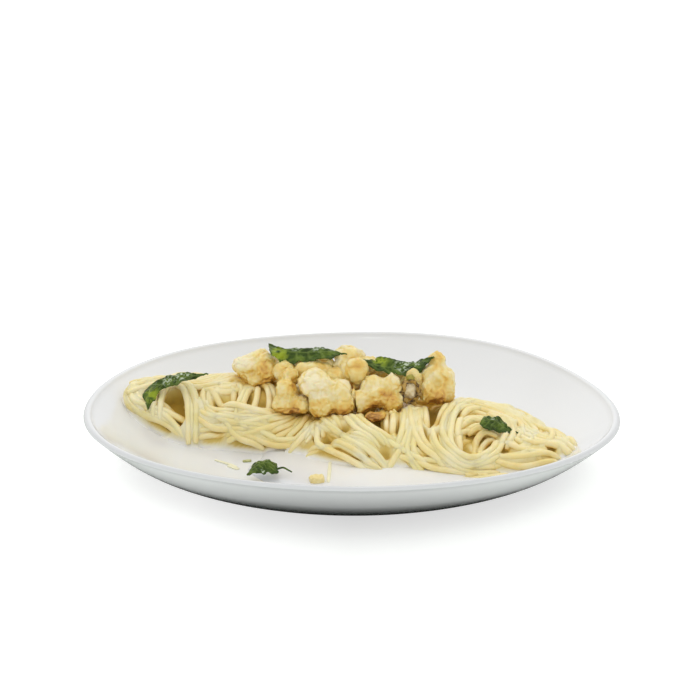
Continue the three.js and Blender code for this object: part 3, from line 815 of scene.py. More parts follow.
# One more strand of the middle, which crosses the open hollows.
OVER_HOLLOWS = (1, 3.2, 1.0, [(-15, -16), (-10.5, -20), (-5.5, -25), (1, -29), (8, -33), (14, -38)])
RIGHT_LOCKS = [
    (3, 3.0, 0.2, [(30, -38), (36, -42), (44, -45.5), (54, -48), (66, -49)]),
    (3, 3.2, 0.6, [(33, 1), (32.5, -12), (33.5, -26), (38, -37), (46, -46)]),
    (4, 3.3, 0.6, [(50, 10), (62, 10), (74, 4), (84, -5), (90, -16), (90, -28)]),
    (4, 3.3, 0.8, [(54, 3), (64, 1), (74, -5), (82, -14), (84, -26), (80, -36)]),
    (3, 3.2, 0.6, [(84, 0), (91, -9), (97, -19), (101, -30), (104, -41)]),
    (4, 3.1, 0.6, [(76, -20), (85, -28), (92, -37), (99, -45), (104, -50)]),
    (3, 3.1, 0.6, [(72, -30), (79, -38), (87, -46), (93, -52)]),
    (3, 3.1, 0.4, [(64, -42), (74, -46), (86, -51), (97, -53)]),
    (2, 3.1, 0.6, [(46, -6), (44, -18), (41, -30), (43, -40), (50, -47), (60, -50), (72, -49)]),
    (3, 3.2, 1.0, [(66, 2), (57, -4), (51, -12), (48.5, -22), (47.5, -30), (48, -37)]),
    (2, 3.1, 0.6, [(72, -17), (65, -19), (59, -18), (54, -21)]),
    (2, 3.0, 0.6, [(73, -25), (67, -26), (61, -24.5), (55.5, -27)]),
    (1, 3.0, 1.0, [(71, -31), (65, -29.5), (60.5, -32), (59, -38), (58.8, -46)]),
    (1, 3.0, 1.0, [(72, -34), (67, -32.5), (63.5, -35), (62, -40), (61.8, -47)]),
    (1, 3.1, 1.0, [(54, -29), (51.5, -35), (51.8, -42)]),
    (2, 3.2, 1.4, [(70, 10), (61, 8), (54, -1), (49.5, -13), (46.5, -26),
                   (46, -37), (50, -44.5), (58, -47.5), (66, -45), (70.5, -38)]),
    (2, 3.3, 1.8, [(58, 12), (51.5, 4), (47.5, -8), (43.5, -20), (41.5, -31),
                   (44, -41), (52, -47.5), (61, -47.5), (68.5, -42.5), (72, -34)]),
    (2, 3.2, 1.0, [(66, -8), (72, -14), (76, -22), (76, -32), (72, -40)]),
    (1, 3.2, 1.4, [(80, -34), (86, -39), (93, -44), (101, -47)]),
    (1, 3.2, 1.2, [(82, -10), (88, -14), (95, -22), (97, -32), (93, -42)]),
]
# The lock at the heap's near edge, and how deep its strands have sunk into the pool.
SUNK_LOCK = (2, 3.3, 0.0, [(12, -46), (24, -49), (36, -51.5), (50, -53), (64, -54), (78, -54)])
SUNK = 1.5

# What lies under the locks that show runs roughly their way, and crosses itself here and there.
LAYERS = [(90, 0.9, -4.2), (120, 0.45, -2.4), (110, 0.3, -0.9)]  # strands, how astray, how proud
UNDER_LENGTH = (30, 85)
UNDER_X = (-112, 106)  # where they start
UNDER_Y = (-56, 52)
UNDER_PRESS = 0.2
GUIDE_STEP = 4.0
lock_spots = []
lock_ways = []
for _, _, _, points in BACK_LOCKS + LEFT_LOCKS + MIDDLE_LOCKS + RIGHT_LOCKS:
    guide = smooth_path(points, GUIDE_STEP)
    lock_spots.append((guide[1:] + guide[:-1]) / 2)
    lock_ways.append(np.arctan2(*np.diff(guide, axis=0).T[::-1]))
lock_spots = np.vstack(lock_spots)
lock_ways = np.concatenate(lock_ways)


def flow_at(spot):
    """The way that the locks near a spot run, as an angle."""
    nearness = 1 / (((lock_spots - spot) ** 2).sum(axis=1) + 10) ** 2
    sines = (nearness * np.sin(2 * lock_ways)).sum()
    return math.atan2(sines, (nearness * np.cos(2 * lock_ways)).sum()) / 2


def heap_depth(spot):
    """How high the heap's face stands over the plate at a spot."""
    column = min(MAP_COLUMNS - 1, max(0, int((spot[0] - MAP_X) / CELL)))
    row = min(MAP_ROWS - 1, max(0, int((spot[1] - MAP_Y) / CELL)))
    return heap_face[row, column] - bare[row, column]


def drifting(length, stray, least, rng):
    """A path that starts somewhere on the heap and goes with the flow, a little astray, as far as
    the heap is deep enough."""
    spot = np.array([rng.uniform(*UNDER_X), rng.uniform(*UNDER_Y)])
    while heap_depth(spot) < least:
        spot = np.array([rng.uniform(*UNDER_X), rng.uniform(*UNDER_Y)])
    heading = rng.uniform(0, 2 * math.pi)
    off = rng.uniform(-stray, stray)
    turn = rng.uniform(-stray, stray)
    path = []
    steps = int(length / STEP)
    for i in range(steps):
        way = flow_at(spot)
        if math.cos(way - heading) < 0:
            way += math.pi
        way += off + turn * math.sin(math.pi * i / steps)
        heading += 0.35 * math.sin(way - heading)
        spot = spot + STEP * np.array([math.cos(heading), math.sin(heading)])
        if heap_depth(spot) < least:
            break
        path.append(spot)
    return np.array(path)


rng = random.Random(11)
under_strands = []
for count, stray, proud in LAYERS:
    for _ in range(count):
        path = drifting(rng.uniform(*UNDER_LENGTH), stray, STRAND - proud, rng)
        if len(path) > SHORTEST:
            for stretch in clear_stretches(wandering(path, rng, 0.8), HOLLOWS):
                under_strands.append(lay_down(stretch, proud, UNDER_PRESS))

back_strands = [s for lock in BACK_LOCKS for s in lay_lock(*lock, rng)]
left_strands = [s for lock in LEFT_LOCKS for s in lay_lock(*lock, rng, 0.6, 3.0, 3.0)]
left_strands += [s for lock in FREE_ENDS for s in lay_lock(*lock, rng, 0.6, 2.0, 0.0)]
middle_strands = [s for lock in MIDDLE_LOCKS for s in lay_lock(*lock, rng, 0.6, 4.0, 3.2)]
middle_strands += lay_lock(*OVER_HOLLOWS, rng, 0.3, 2.0, 3.2, ())
right_strands = [s for lock in RIGHT_LOCKS for s in lay_lock(*lock, rng, 0.6, 4.0)]
right_strands += [s - np.array([0, 0, SUNK]) for s in lay_lock(*SUNK_LOCK, rng, 0.9, 9.0)]

# Cream clings between the strands. It bridges the narrow gaps, lies thicker in some places than in
# others, climbs a little way up the heap's foot, and has drained out of the hollows.
BRIDGE = 3.6  # radius of the cream's face between two strands
WIDE_BRIDGE = 8.0  # and where it bridges all gaps alike
CREAM_SINK = (0.3, 1.5)  # how far the cream lies under that face, where it is thick and thin
THIN_PATCHES = [(17, 1.5), (5, 0.9)]  # width of patches where it is thick or thin, and how much
APRON_SINK = 1.7  # how far it lies under its wide face at the heap's foot
FOOT_HEIGHT = 7  # how far up the heap its foot goes
COVER = 2.0  # how high over the heap's face what lies in the open may stand
# The golden tone of deep points is painted shade, partly butter between the strands.
DEEPEST = 5.5  # how deep a point lies that is fully golden
DEEPEST_GAP = 4.5  # how deep the gaps between the strands go, but for the hollows
SAUCY_SHARE = 0.75  # how much of the thicknesses in SAUCY it takes
HOLLOW_EDGE = 0.6  # how far round a hollow the cream has been drawn down
STEEP = 0.8  # slope from which its face is eased
FILM_START = 1.4  # how high the heap stands where the cream starts
FILM_RISE = 3.6  # how much higher it stands where the cream is as thick as elsewhere
FILM_END = 0.5  # how far under the glaze it ends
FILM_RIM = (0.45, 0.7)  # how far under the glaze its hidden rim starts, and how deep it goes

# Where the cream lies thick over the strands: place, reach both ways and how much thicker.
SAUCY = [
    (-106, 11, 8, 11, 1.3),
    (-93, 0, 14, 6, 1.5),
    (-70, -8, 20, 4, 0.3),
    (-76, 6, 5, 7, 0.5),
    (-40, -15, 14, 4, 0.2),
    (-8, -30, 12, 6, 0.7),
    (74, 0, 13, 8, 1.7),
    (93, -8, 12, 9, 1.6),
    (99, -42, 10, 9, 1.5),
    (48, -46, 30, 5, 0.1),
    (70, -38, 9, 7, 0.6),
    (30, -12, 6, 14, 0.4),
    (-66, 28, 30, 8, 0.5),
]

# Where the cream has run off from between the strands, measured as the hollows are.
DRAINED = [
    (60, -27, 9, 12, 4.2),
    (59, -38, 8, 7, 3.4),
    (-46, -15, 20, 5, 2.2),
    (-4, -34, 18, 8, 1.6),
    (38, -40, 12, 8, 2.0),
    (-92, 4, 10, 7, 1.4),
    (-74, 12, 5, 5, 1.8),
    (-48, 4, 12, 7, 2.0),
    (20, -14, 6, 10, 2.4),
]

wide_face = bridged(heights, WIDE_BRIDGE)
cover = np.minimum(wide_face, heap_face + COVER)
film_face = bridged(heights, BRIDGE)
thin = np.zeros_like(heights)
for row in range(MAP_ROWS):
    for column in range(MAP_COLUMNS):
        if heap_face[row, column] > bare[row, column] + 0.2:
            spot = Vector((map_x[row, column], map_y[row, column], 0))
            patches = (much * noise.noise(spot / width) for width, much in THIN_PATCHES)
            thin[row, column] = sum(patches, 0.5)
foot_share = np.clip((heap_face - bare) / FOOT_HEIGHT, 0, 1)
sink = CREAM_SINK[0] + (CREAM_SINK[1] - CREAM_SINK[0]) * np.clip(thin, -0.3, 1.4)
film_face = film_face - sink * (0.6 + 0.4 * foot_share)
apron = wide_face - APRON_SINK
film_face = np.maximum(film_face, foot_share * film_face + (1 - foot_share) * apron)
film_face = np.maximum(film_face, heap_face - DEEPEST_GAP * foot_share)
for x, y, reach_x, reach_y, lift in SAUCY:
    nearness = np.clip(1 - ((map_x - x) / reach_x) ** 2 - ((map_y - y) / reach_y) ** 2, 0, 1)
    film_face += SAUCY_SHARE * lift * nearness
for x, y, half_width, half_depth, depth in HOLLOWS + DRAINED:
    across = (map_x - x) / (half_width + HOLLOW_EDGE)
    along = (map_y - y) / (half_depth + HOLLOW_EDGE)
    share = np.clip((1.15 - np.hypot(across, along)) * 3, 0, 1)
    film_face = np.minimum(film_face, film_face * (1 - share) + (heap_face - depth) * share)
film_face = np.minimum(film_face, ceiling + STRAND_POKE)
steepness = np.hypot(*np.gradient(film_face, CELL))
film_face += (blurred(film_face, 2) - film_face) * np.clip(steepness - STEEP, 0, 1)
heap_share = np.clip((blurred(heap_face - bare, 9) - FILM_START) / FILM_RISE, 0, 1)
heap_share = heap_share * heap_share * (3 - 2 * heap_share)
film_face = bare - FILM_END + (film_face - bare + FILM_END) * heap_share
film_face = np.maximum(film_face, bare - FILM_RIM[1])
near_film = blurred((film_face > bare - FILM_RIM[0]).astype(float), 2, 1) > 0.01
film_face = np.where(near_film, film_face, bare - 2 * FILM_RIM[1])
film = relief("cream_film", film_face, bare, -1.5 * FILM_RIM[1], 1)

# The strands and the cream under and round the chicken get a golden painted shade.
shade_near_chicken = blurred(blurred((ceiling < NOTHING / 2).astype(float), 4), 3)


def set_deepness(piece):
    """Stores how deep each point lies under the face of the heap, and how near the plate."""
    spots = np.empty(3 * len(piece.data.vertices))
    piece.data.vertices.foreach_get("co", spots)
    x, y, z = spots.reshape(-1, 3).T / MM
    columns = np.clip(np.rint((x - MAP_X) / CELL).astype(int), 0, MAP_COLUMNS - 1)
    rows = np.clip(np.rint((y - MAP_Y) / CELL).astype(int), 0, MAP_ROWS - 1)
    deepness = np.clip((cover[rows, columns] - z) / DEEPEST + 0.5 * shade_near_chicken[rows, columns], 0, 1)
    deepness *= 0.3 + 0.7 * foot_share[rows, columns]
    lowness = np.clip(1 - (z - ground[rows, columns]) / 2.5, 0, 1)
    store(piece, "deepness", deepness * (1 - lowness))
    store(piece, "lowness", lowness)


def make_tubes(name, lines, thickness, widths):
    """One piece from lines in mm: a round tube along each, and its width at each of their points
    as a share of the thickness."""
    curve = bpy.data.curves.new(name, "CURVE")
    curve.dimensions = "3D"
    curve.bevel_depth = thickness / 2 * MM
    curve.bevel_resolution = 3
    curve.use_fill_caps = True
    for line, line_widths in zip(lines, widths):
        spline = curve.splines.new("POLY")
        spline.points.add(len(line) - 1)
        for point, place, width in zip(spline.points, line, line_widths):
            point.co = (*(place * MM), 1)
            point.radius = width
    piece = bpy.data.objects.new(name, curve)
    bpy.context.scene.collection.objects.link(piece)
    bpy.context.view_layer.objects.active = piece
    piece.select_set(True)
    bpy.ops.object.convert(target="MESH")
    bpy.ops.object.shade_smooth()
    piece.select_set(False)
    return piece


def strand_widths(strand, rng):
    """A strand is a little thicker or thinner than others, and rounded off at its ends."""
    widths = np.ones(len(strand))
    widths[[1, -2]] = 0.9
    widths[[0, -1]] = 0.62
    return rng.uniform(0.92, 1.07) * widths


def along_depth(tree, shallow, at_shallow, deep, at_deep):
    """A share that changes as points lie deeper under the face of the heap."""
    stops = [(shallow, (at_shallow,) * 3), (deep, (at_deep,) * 3)]
    return ramp_node(tree, attribute_node(tree, "deepness"), stops)


def paint_depth_shade(tree, shader, tone, start, deep_tone):
    """Lays painted shade, golden (partly butter) and then brown, over the deeper parts of a tone, and
    takes the shine off them.
    """
    tone = mix_node(tree, along_depth(tree, start, 0, 0.45, 1), tone, GOLDEN_SHADE)
    tone = mix_node(tree, along_depth(tree, 0.45, 0, 1.0, 1), tone, deep_tone)
    shine = along_depth(tree, 0.2, 0.5, 0.6, 0)
    tree.links.new(shine, shader.inputs["Specular IOR Level"])
    return tone


STRAND_TONES = [(0.0, (0.80, 0.64, 0.25)), (0.5, (0.82, 0.68, 0.29)), (1.0, (0.85, 0.74, 0.37))]
CORE_SHADE_AND_BUTTER_TONES = [(0.35, (0.55, 0.36, 0.10)), (0.7, (0.72, 0.54, 0.20))]
FILM_TONES = [(0.35, (0.85, 0.71, 0.34)), (0.65, (0.88, 0.78, 0.48))]
# Painted shade for the deeper parts of the heap, golden and partly butter, then brown for strands and
# cream.
GOLDEN_SHADE = (0.74, 0.53, 0.15)  # what lies a little deep, and below what lies fully so
DEEP_STRAND_SHADE = (0.50, 0.32, 0.06)
DEEP_CREAM_SHADE = (0.48, 0.30, 0.05)
pasta, tree, shader = new_material("creamed_spaghetti", 0.36)
strand_tone = tree.nodes.new("ShaderNodeNewGeometry").outputs["Random Per Island"]
own = ramp_node(tree, strand_tone, STRAND_TONES)
creamed = ramp_node(tree, noise_node(tree, 90, 4.0), [(0.42, (0, 0, 0)), (0.68, (1, 1, 1))])
tone = mix_node(tree, creamed, own, (0.87, 0.77, 0.47))
tone = paint_depth_shade(tree, shader, tone, 0.12, DEEP_STRAND_SHADE)
tree.links.new(tone, shader.inputs["Base Color"])
soften(shader, 0.3, (1.0, 0.7, 0.3), 1.5)
coat(shader, 0.2, 0.2)
bump_node(tree, shader, noise_node(tree, 500), 0.2, 0.5)

# The core's dark gold and brown are painted shade deep in the heap, and partly butter.
core.data.materials.append(mottled("core_butter_and_painted_shade", 0.5, 220, CORE_SHADE_AND_BUTTER_TONES, (350, 1.0, 0.8)))

film_cream, tree, shader = new_material("clinging_cream", 0.3)
tone = ramp_node(tree, noise_node(tree, 70), FILM_TONES)
tone = paint_depth_shade(tree, shader, tone, 0.15, DEEP_CREAM_SHADE)
tone = mix_node(tree, attribute_node(tree, "lowness"), tone, (0.97, 0.93, 0.83))
tree.links.new(tone, shader.inputs["Base Color"])
soften(shader, 0.3, (1.0, 0.8, 0.4), 1.5)
bump_node(tree, shader, noise_node(tree, 300), 0.2, 0.5)

heap = {
    "strands_under": under_strands,
    "strands_back": back_strands,
    "strands_left": left_strands,
    "strands_middle": middle_strands,
    "strands_right": right_strands,
}
set_deepness(film)
film.data.materials.append(film_cream)
heap_pieces = [core]
for name, strands in heap.items():
    rng = random.Random(name)
    piece = make_tubes(name, strands, STRAND, [strand_widths(strand, rng) for strand in strands])
    set_deepness(piece)
    piece.data.materials.append(pasta)
    heap_pieces.append(piece)
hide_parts("spaghetti")
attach(film, "root")
for piece in heap_pieces:
    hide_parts("spaghetti")
    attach(piece, "root")

# ------------------------------------------------------------------------------------- chicken
# Bite-sized pieces of chicken in a knobbly batter, fried pale gold, with cream spooned over. The
# batter is browner in patches from the frying, and painted darker underneath and in its folds as
# painted shade. Each piece is the CAD piece's skin, with knobs and crumbs of batter raised on it.

BATTER_FACE = 0.5  # width of one face of the skin
KNOB = 7.5  # width of a knob of batter, and how high it stands
KNOB_HEIGHT = 1.9
KNOB_WARP = 2.6  # how far the knobs are pushed out of an even pattern
RIDGE = 4.2  # width of the ridges on a knob
SMALL_KNOB = 2.2
SMALL_KNOB_HEIGHT = 0.9
CRUMB_HEIGHT = 0.16
COATED_PATCH = 9  # width of the patches that cream has smoothed over
BATTER_TUCK = 0.5  # how far the skin is drawn in before the knobs are raised
BUMP_SEED = 1  # so that the bumps here and below come out the same each time
# From pale gold to dark brown: the frying's browning, and painted shade in folds and underneath.
BROWNING_AND_SHADE = [
    (0.0, (0.85, 0.76, 0.50)),
    (0.28, (0.80, 0.65, 0.26)),
    (0.55, (0.76, 0.51, 0.11)),
    (0.8, (0.62, 0.33, 0.06)),
    (1.0, (0.32, 0.13, 0.02)),
]

# Patches that the frying has left browner, or the cream paler: centre, radius and how much.
PATCHES = {
    "chicken_1": [(-42, 13, 38, 8, 0.3), (-37, 9, 31, 4, 0.6), (-54, 14, 42, 8, -0.25)],
    "chicken_2": [(-31, 0, 36, 9, 0.25), (-28, -8, 24, 6, 0.25)],
    "chicken_3": [(-19, -9, 39, 10, -0.35), (-20, -12, 36, 1.6, 0.9), (-4, -12, 25, 7, 0.35)],
    "chicken_4": [(-12, 6, 46, 9, -0.1), (0, 1, 33, 4, 0.7)],
    "chicken_5": [(17.3, -9, 35, 5, 1.1), (20, -7, 30, 5, 0.4), (13, -8, 23, 8, 0.4)],
    "chicken_6": [(12, 10, 36, 7, 0.3)],
    "chicken_7": [(43, 10, 47, 6, 0.25), (43, -2, 31, 7, 0.35), (40, -4, 24, 6, 0.6)],
    "chicken_8": [(12, -14, 23, 9, 0.6)],
}


def apply_remesh(piece, width, rounds=4):
    """Turns a piece into an even skin of small faces, so wide in mm, then eases it."""
    remesh = piece.modifiers.new("skin", "REMESH")
    remesh.mode = "VOXEL"
    remesh.voxel_size = width * MM
    bpy.ops.object.modifier_apply(modifier="skin")
    ease = piece.modifiers.new("ease", "SMOOTH")
    ease.iterations = rounds
    bpy.ops.object.modifier_apply(modifier="ease")


noise.seed_set(BUMP_SEED)


def raise_batter(piece, shift):
    """Raises knobs and crumbs on a skin. Returns how deep in a fold each of its points lies."""
    folds = []
    places = []
    for vertex in piece.data.vertices:
        spot = vertex.co / MM
        normal = Vector(vertex.normal)
        warp = noise.noise_vector(spot / 5 + shift) * KNOB_WARP
        near, far = noise.voronoi((spot + warp) / KNOB + shift)[0][:2]
        knob = 0.5 * (1 - near**2) + 0.25 * math.sqrt(max(0, far - near))
        knob += 0.45 * abs(noise.noise((spot + warp) / RIDGE - shift))
        small = 0.45 + 0.9 * abs(noise.noise((spot + warp) / SMALL_KNOB + shift))
        coated = 0.45 + 0.4 * normal.z + 1.2 * noise.noise(spot / COATED_PATCH - shift)
        coated = min(1, max(0, coated))
        rough = 1 - 0.65 * coated
        height = KNOB_HEIGHT * (knob - 0.66) + SMALL_KNOB_HEIGHT * rough * (small - 0.7)
        height += CRUMB_HEIGHT * rough * noise.noise(spot * 1.4) - BATTER_TUCK
        places.append(vertex.co + normal * height * MM)
        folds.append(max(0, 0.58 - knob) * 0.8 + max(0, 0.6 - small) * rough * 0.55)
    for vertex, place in zip(piece.data.vertices, places):
        vertex.co = place
    return folds


batter, tree, shader = new_material("fried_batter", 0.4)
tone = ramp_node(tree, attribute_node(tree, "browning_and_shade"), BROWNING_AND_SHADE)
tree.links.new(tone, shader.inputs["Base Color"])
soften(shader, 0.25, (1.0, 0.6, 0.2), 1.5)
coat(shader, 0.25, 0.25)
bump_node(tree, shader, noise_node(tree, 900, 4.0), 0.25, 0.6)

for i, node in enumerate(chicken_nodes[:-1]):
    piece = node_copy(f"battered_{node}", node)
    apply_remesh(piece, BATTER_FACE)
    shift = Vector((7.3 * i, 1.9 * i, 0))
    folds = raise_batter(piece, shift)
    bpy.ops.object.shade_smooth()
    low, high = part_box(node)
    for vertex in piece.data.vertices:
        vertex.co.z = min(vertex.co.z, high.z)
    shares = []
    # Folds and the underside get painted shade; the noise and the patches are the frying's own browning.
    for vertex, fold in zip(piece.data.vertices, folds):
        spot = vertex.co / MM
        low_share = 1 - (vertex.co.z - low.z) / (high.z - low.z)
        share = 0.17 + fold + 0.5 * max(0, 0.1 - vertex.normal.z) * low_share + 0.12 * low_share
        share += 0.28 * noise.noise(spot / 6 + shift) + 0.16 * noise.noise(spot / 1.7)
        for x, y, z, reach, much in PATCHES[node]:
            away = (spot - Vector((x, y, z))).length / reach
            share += much * max(0, 1 - away * away)
        shares.append(min(1, max(0, share)))
    store(piece, "browning_and_shade", shares)
    piece.data.materials.append(batter)
    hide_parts(node)
    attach(piece, "root")
    piece.select_set(False)

# Scraps of batter tucked between the pieces: place and half their width, depth and height.
SCRAPS = [
    (-33, 9, 39, 6.5, 6, 6.5),
    (-19, 9.5, 38.5, 12, 6, 6.5),
    (-8, 7.5, 36.5, 8, 5.5, 5.5),
    (-15, 13.5, 41, 8, 4.5, 6),
    (-26.5, 14.5, 40.5, 5, 4.5, 6),
    (3, 6, 40, 7, 6, 7.5),
    (9, 14, 40.5, 7, 5, 5.5),
    (1.6, -3.5, 29, 2.4, 3.5, 5.5),
    (31.5, 6, 36, 5.5, 5.5, 6),
    (29, 9, 31, 6, 6, 6),
    (21, -13, 24.5, 2.8, 2.6, 2.6),
    (-6, -15, 21.5, 2.6, 2.6, 2.4),
]
for i, (x, y, z, *reaches) in enumerate(SCRAPS):
    place = (x * MM, y * MM, z * MM)
    bpy.ops.mesh.primitive_ico_sphere_add(subdivisions=5, radius=MM, location=place)
    scrap = bpy.context.object
    scrap.name = f"batter_scrap_{i + 1}"
    scrap.scale = reaches
    bpy.ops.object.transform_apply(location=True, rotation=True, scale=True)
    shift = Vector((5.1 * i, 8.8, 0))
    folds = raise_batter(scrap, shift)
    bpy.ops.object.shade_smooth()
    # Folds get painted shade; the noise is the frying's own browning.
    shares = [
        min(1, max(0, 0.3 + fold + 0.3 * noise.noise(vertex.co / (4 * MM) + shift)))
        for vertex, fold in zip(scrap.data.vertices, folds)
    ]
    store(scrap, "browning_and_shade", shares)
    scrap.data.materials.append(batter)
    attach(scrap, "root")
    scrap.select_set(False)

# A curl of batter that has fried to a dark lace, round a lump of cream, under a peppercorn.
CURL = (29.4, -1.2, 31.8)
CURL_RADIUS = 4.2
CURL_WIRE = 1.05
CURL_FORWARD = Vector((0, -1.2, 0))  # how far it lies in front of the lump
LUMP_FACE = 0.4
LUMP_SHARE = 0.92  # its size as a share of the room in the curl
PEPPER = (29.6, 0.6, 38.0)
PEPPER_RADIUS = 2.1
CURL_BENDS = [(3.2, 1.5), (1.1, 0.4)]  # width of the bends in it, and how far they go
CRISP_TONES = [(0.42, (0.06, 0.025, 0.004)), (0.6, (0.48, 0.30, 0.07))]
PEPPER_TONES = [(0.35, (0.24, 0.21, 0.02)), (0.65, (0.46, 0.40, 0.06))]
LUMP_TONES = [(0.35, (0.84, 0.66, 0.34)), (0.62, (0.96, 0.86, 0.60))]

lump = node_copy("curl_cream", "crisp_curl")
apply_remesh(lump, LUMP_FACE, 10)
for vertex in lump.data.vertices:
    vertex.co = Vector(CURL) * MM + (vertex.co - Vector(CURL) * MM) * LUMP_SHARE
raise_batter(lump, Vector((3, 5, 0)))
bpy.ops.object.shade_smooth()
lump.select_set(False)

bpy.ops.mesh.primitive_torus_add(
    major_radius=CURL_RADIUS * MM, minor_radius=CURL_WIRE * MM, major_segments=96, minor_segments=24
)
curl = bpy.context.object
curl.name = "crisp_batter_curl"
for vertex in curl.data.vertices:
    spot = vertex.co / MM
    upright = Vector((spot.x * 0.95, -spot.z, spot.y * 1.25))
    bends = sum((noise.noise_vector(spot / width) * far for width, far in CURL_BENDS), Vector())
    vertex.co = (upright + bends + Vector(CURL) + CURL_FORWARD) * MM
edit_all(curl)
close_up()
bpy.ops.object.shade_smooth()
curl.select_set(False)

bpy.ops.mesh.primitive_ico_sphere_add(subdivisions=5, radius=PEPPER_RADIUS * MM)
pepper = bpy.context.object
pepper.name = "peppercorn"
for vertex in pepper.data.vertices:
    spot = vertex.co / MM
    swell = 1 + 0.12 * noise.noise(spot / 0.9) + 0.07 * noise.noise(spot * 2.2)
    vertex.co = spot * swell * MM + Vector(PEPPER) * MM
bpy.ops.object.shade_smooth()
pepper.select_set(False)

crisp_paint = mottled("browned_crisp", 0.35, 420, CRISP_TONES, (900, 0.3, 0.6))
pepper_paint = mottled("peppercorn_skin", 0.35, 500, PEPPER_TONES)
lump_paint = mottled("curl_cream", 0.35, 260, LUMP_TONES, (700, 0.2, 0.6))
curl_parts = [(lump, lump_paint, "cream"), (curl, crisp_paint, "crisp"), (pepper, pepper_paint, "crisp")]
for piece, paint, slot in curl_parts:
    piece.data.materials.append(paint)
    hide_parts("crisp_curl")
    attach(piece, "root")

# -------------------------------------------------------------------------------------- leaves
# Basil leaves fried in the same oil: crisp, dark and glossy, folded up along the midrib and
# crumpled by the heat. Each is a thin blade lofted from its midrib to its two edges, and a stalk.

BLADE_THICK = 0.45
ALONG = 110  # points along a blade and across it
ACROSS = 45
VEINS = 7  # side veins on each half, how far they slant outwards, and their height
VEIN_SLANT = 0.9
VEIN_HEIGHT = 0.28
VEIN_WIDTH = 0.13  # as a share of the way to the next, and the midrib's, of the way to the edge
RIB_WIDTH = 0.07
RAGGED = 0.16  # how much its edge goes in and out
STALK = 0.8
STALK_POINTS = 16
LEAF_TONES = [(0.3, (0.015, 0.03, 0.001)), (0.5, (0.045, 0.085, 0.004)), (0.72, (0.13, 0.19, 0.02))]

# Each leaf: its midrib from stalk or tip, its near edge and its far edge, in mm. Then its stalk,
# the spots where light falling through it is painted on, and the spots where flecks of cream stick
# and glare is painted on: centre and radius.
LEAVES = {
    "leaf_1": (
        [(-41, 18.5, 50.2), (-33.1, 12, 48.8), (-23.7, 12, 47.8), (-12.7, 12, 48.3), (-4.7, 12, 47.2)],
        [(-39.9, 8.5, 49.6), (-34.6, 8.5, 43.6), (-22.6, 8.5, 44.6), (-10.2, 8.5, 46.2)],
        [(-30.3, 15.5, 48.8), (-16.3, 15.5, 49.1), (-7.8, 15.5, 47.8)],
        [(-4.7, 12, 47.2), (-3.0, 11.5, 47.6), (-1.7, 11, 47.4)],
        [(-36, 10, 47, 6)],
        [(-16, 15, 49, 4), (-28, 15, 48.8, 3)],
    ),
    "leaf_2": (
        [(5.2, 8, 45.3), (10.7, 8, 42.7), (19.6, 8, 41.2), (27.1, 8, 41.7), (34.5, 8, 43.8),
         (40.5, 8, 46.4)],
        [(12.6, 4.5, 41.2), (22.1, 4.5, 39.1), (31, 4.5, 39.1), (37.4, 4.5, 43.3)],
        [(11.7, 12, 44.6), (17.2, 12, 45.7), (23.7, 12, 43.6), (32.2, 12, 43.1)],
        [(40.5, 8, 46.4), (41.6, 8, 47.0)],
        [(15, 11, 44.5, 5)],
        [(26, 9, 42, 5), (33, 9, 43, 3)],
    ),
    "leaf_3": (
        [(-73.6, 10, 36.9), (-82.7, 10, 35.3), (-92.8, 10, 32.2), (-99, 8, 29), (-101.1, 6, 23.5),
         (-101, 3.5, 20.9)],
        [(-81.9, 7, 34.2), (-89.9, 7, 32.1), (-95, 7, 30.5), (-98.2, 7, 24.2)],
        [(-83.9, 13, 36.5), (-94, 13, 33.8), (-103.3, 13, 27)],
        [(-73.6, 10, 36.9), (-72, 10, 37.6), (-71, 10, 37.2)],
        [(-99, 8, 27, 5)],
        [(-84, 12, 36, 5), (-91, 11, 34, 4)],
    ),
    "leaf_4": (
        [(77.9, -29, 20.5), (73.5, -29, 22.5), (68.7, -29, 26), (64.3, -29, 26), (62, -29, 24.5)],
        [(73.8, -32, 21), (68.5, -32, 22), (63.7, -32, 23.5)],
        [(72.9, -25, 25.2), (68.9, -25, 26.9), (64.2, -25, 26.2)],
        [(77.9, -29, 20.5), (79.4, -29.6, 20.6), (80.2, -30, 20.2)],
        [],
        [(68, -27, 26, 2)],
    ),
    "leaf_5": (
        [(-48.4, -53, 7.6), (-44.1, -53, 11.6), (-39, -53, 13.4), (-34.4, -53, 10.6)],
        [(-43.1, -56, 9.3), (-39.4, -56, 8.8), (-34.3, -56, 10)],
        [(-44.8, -49, 11.6), (-38.7, -49, 13.4), (-34.5, -49, 10.6)],
        [(-34.4, -53, 10.6), (-31.5, -52.5, 11.1), (-29.2, -53, 10.1), (-27.4, -53, 9.1)],
        [],
        [(-41, -55, 10, 2)],
    ),
}


def near_spots(spot, spots):
    """How near a point is to the nearest of some spots, from 0 to 1."""
    shares = [max(0, 1 - (spot - Vector(s[:3])).length_squared / s[3] ** 2) for s in spots]
    return max(shares + [0])


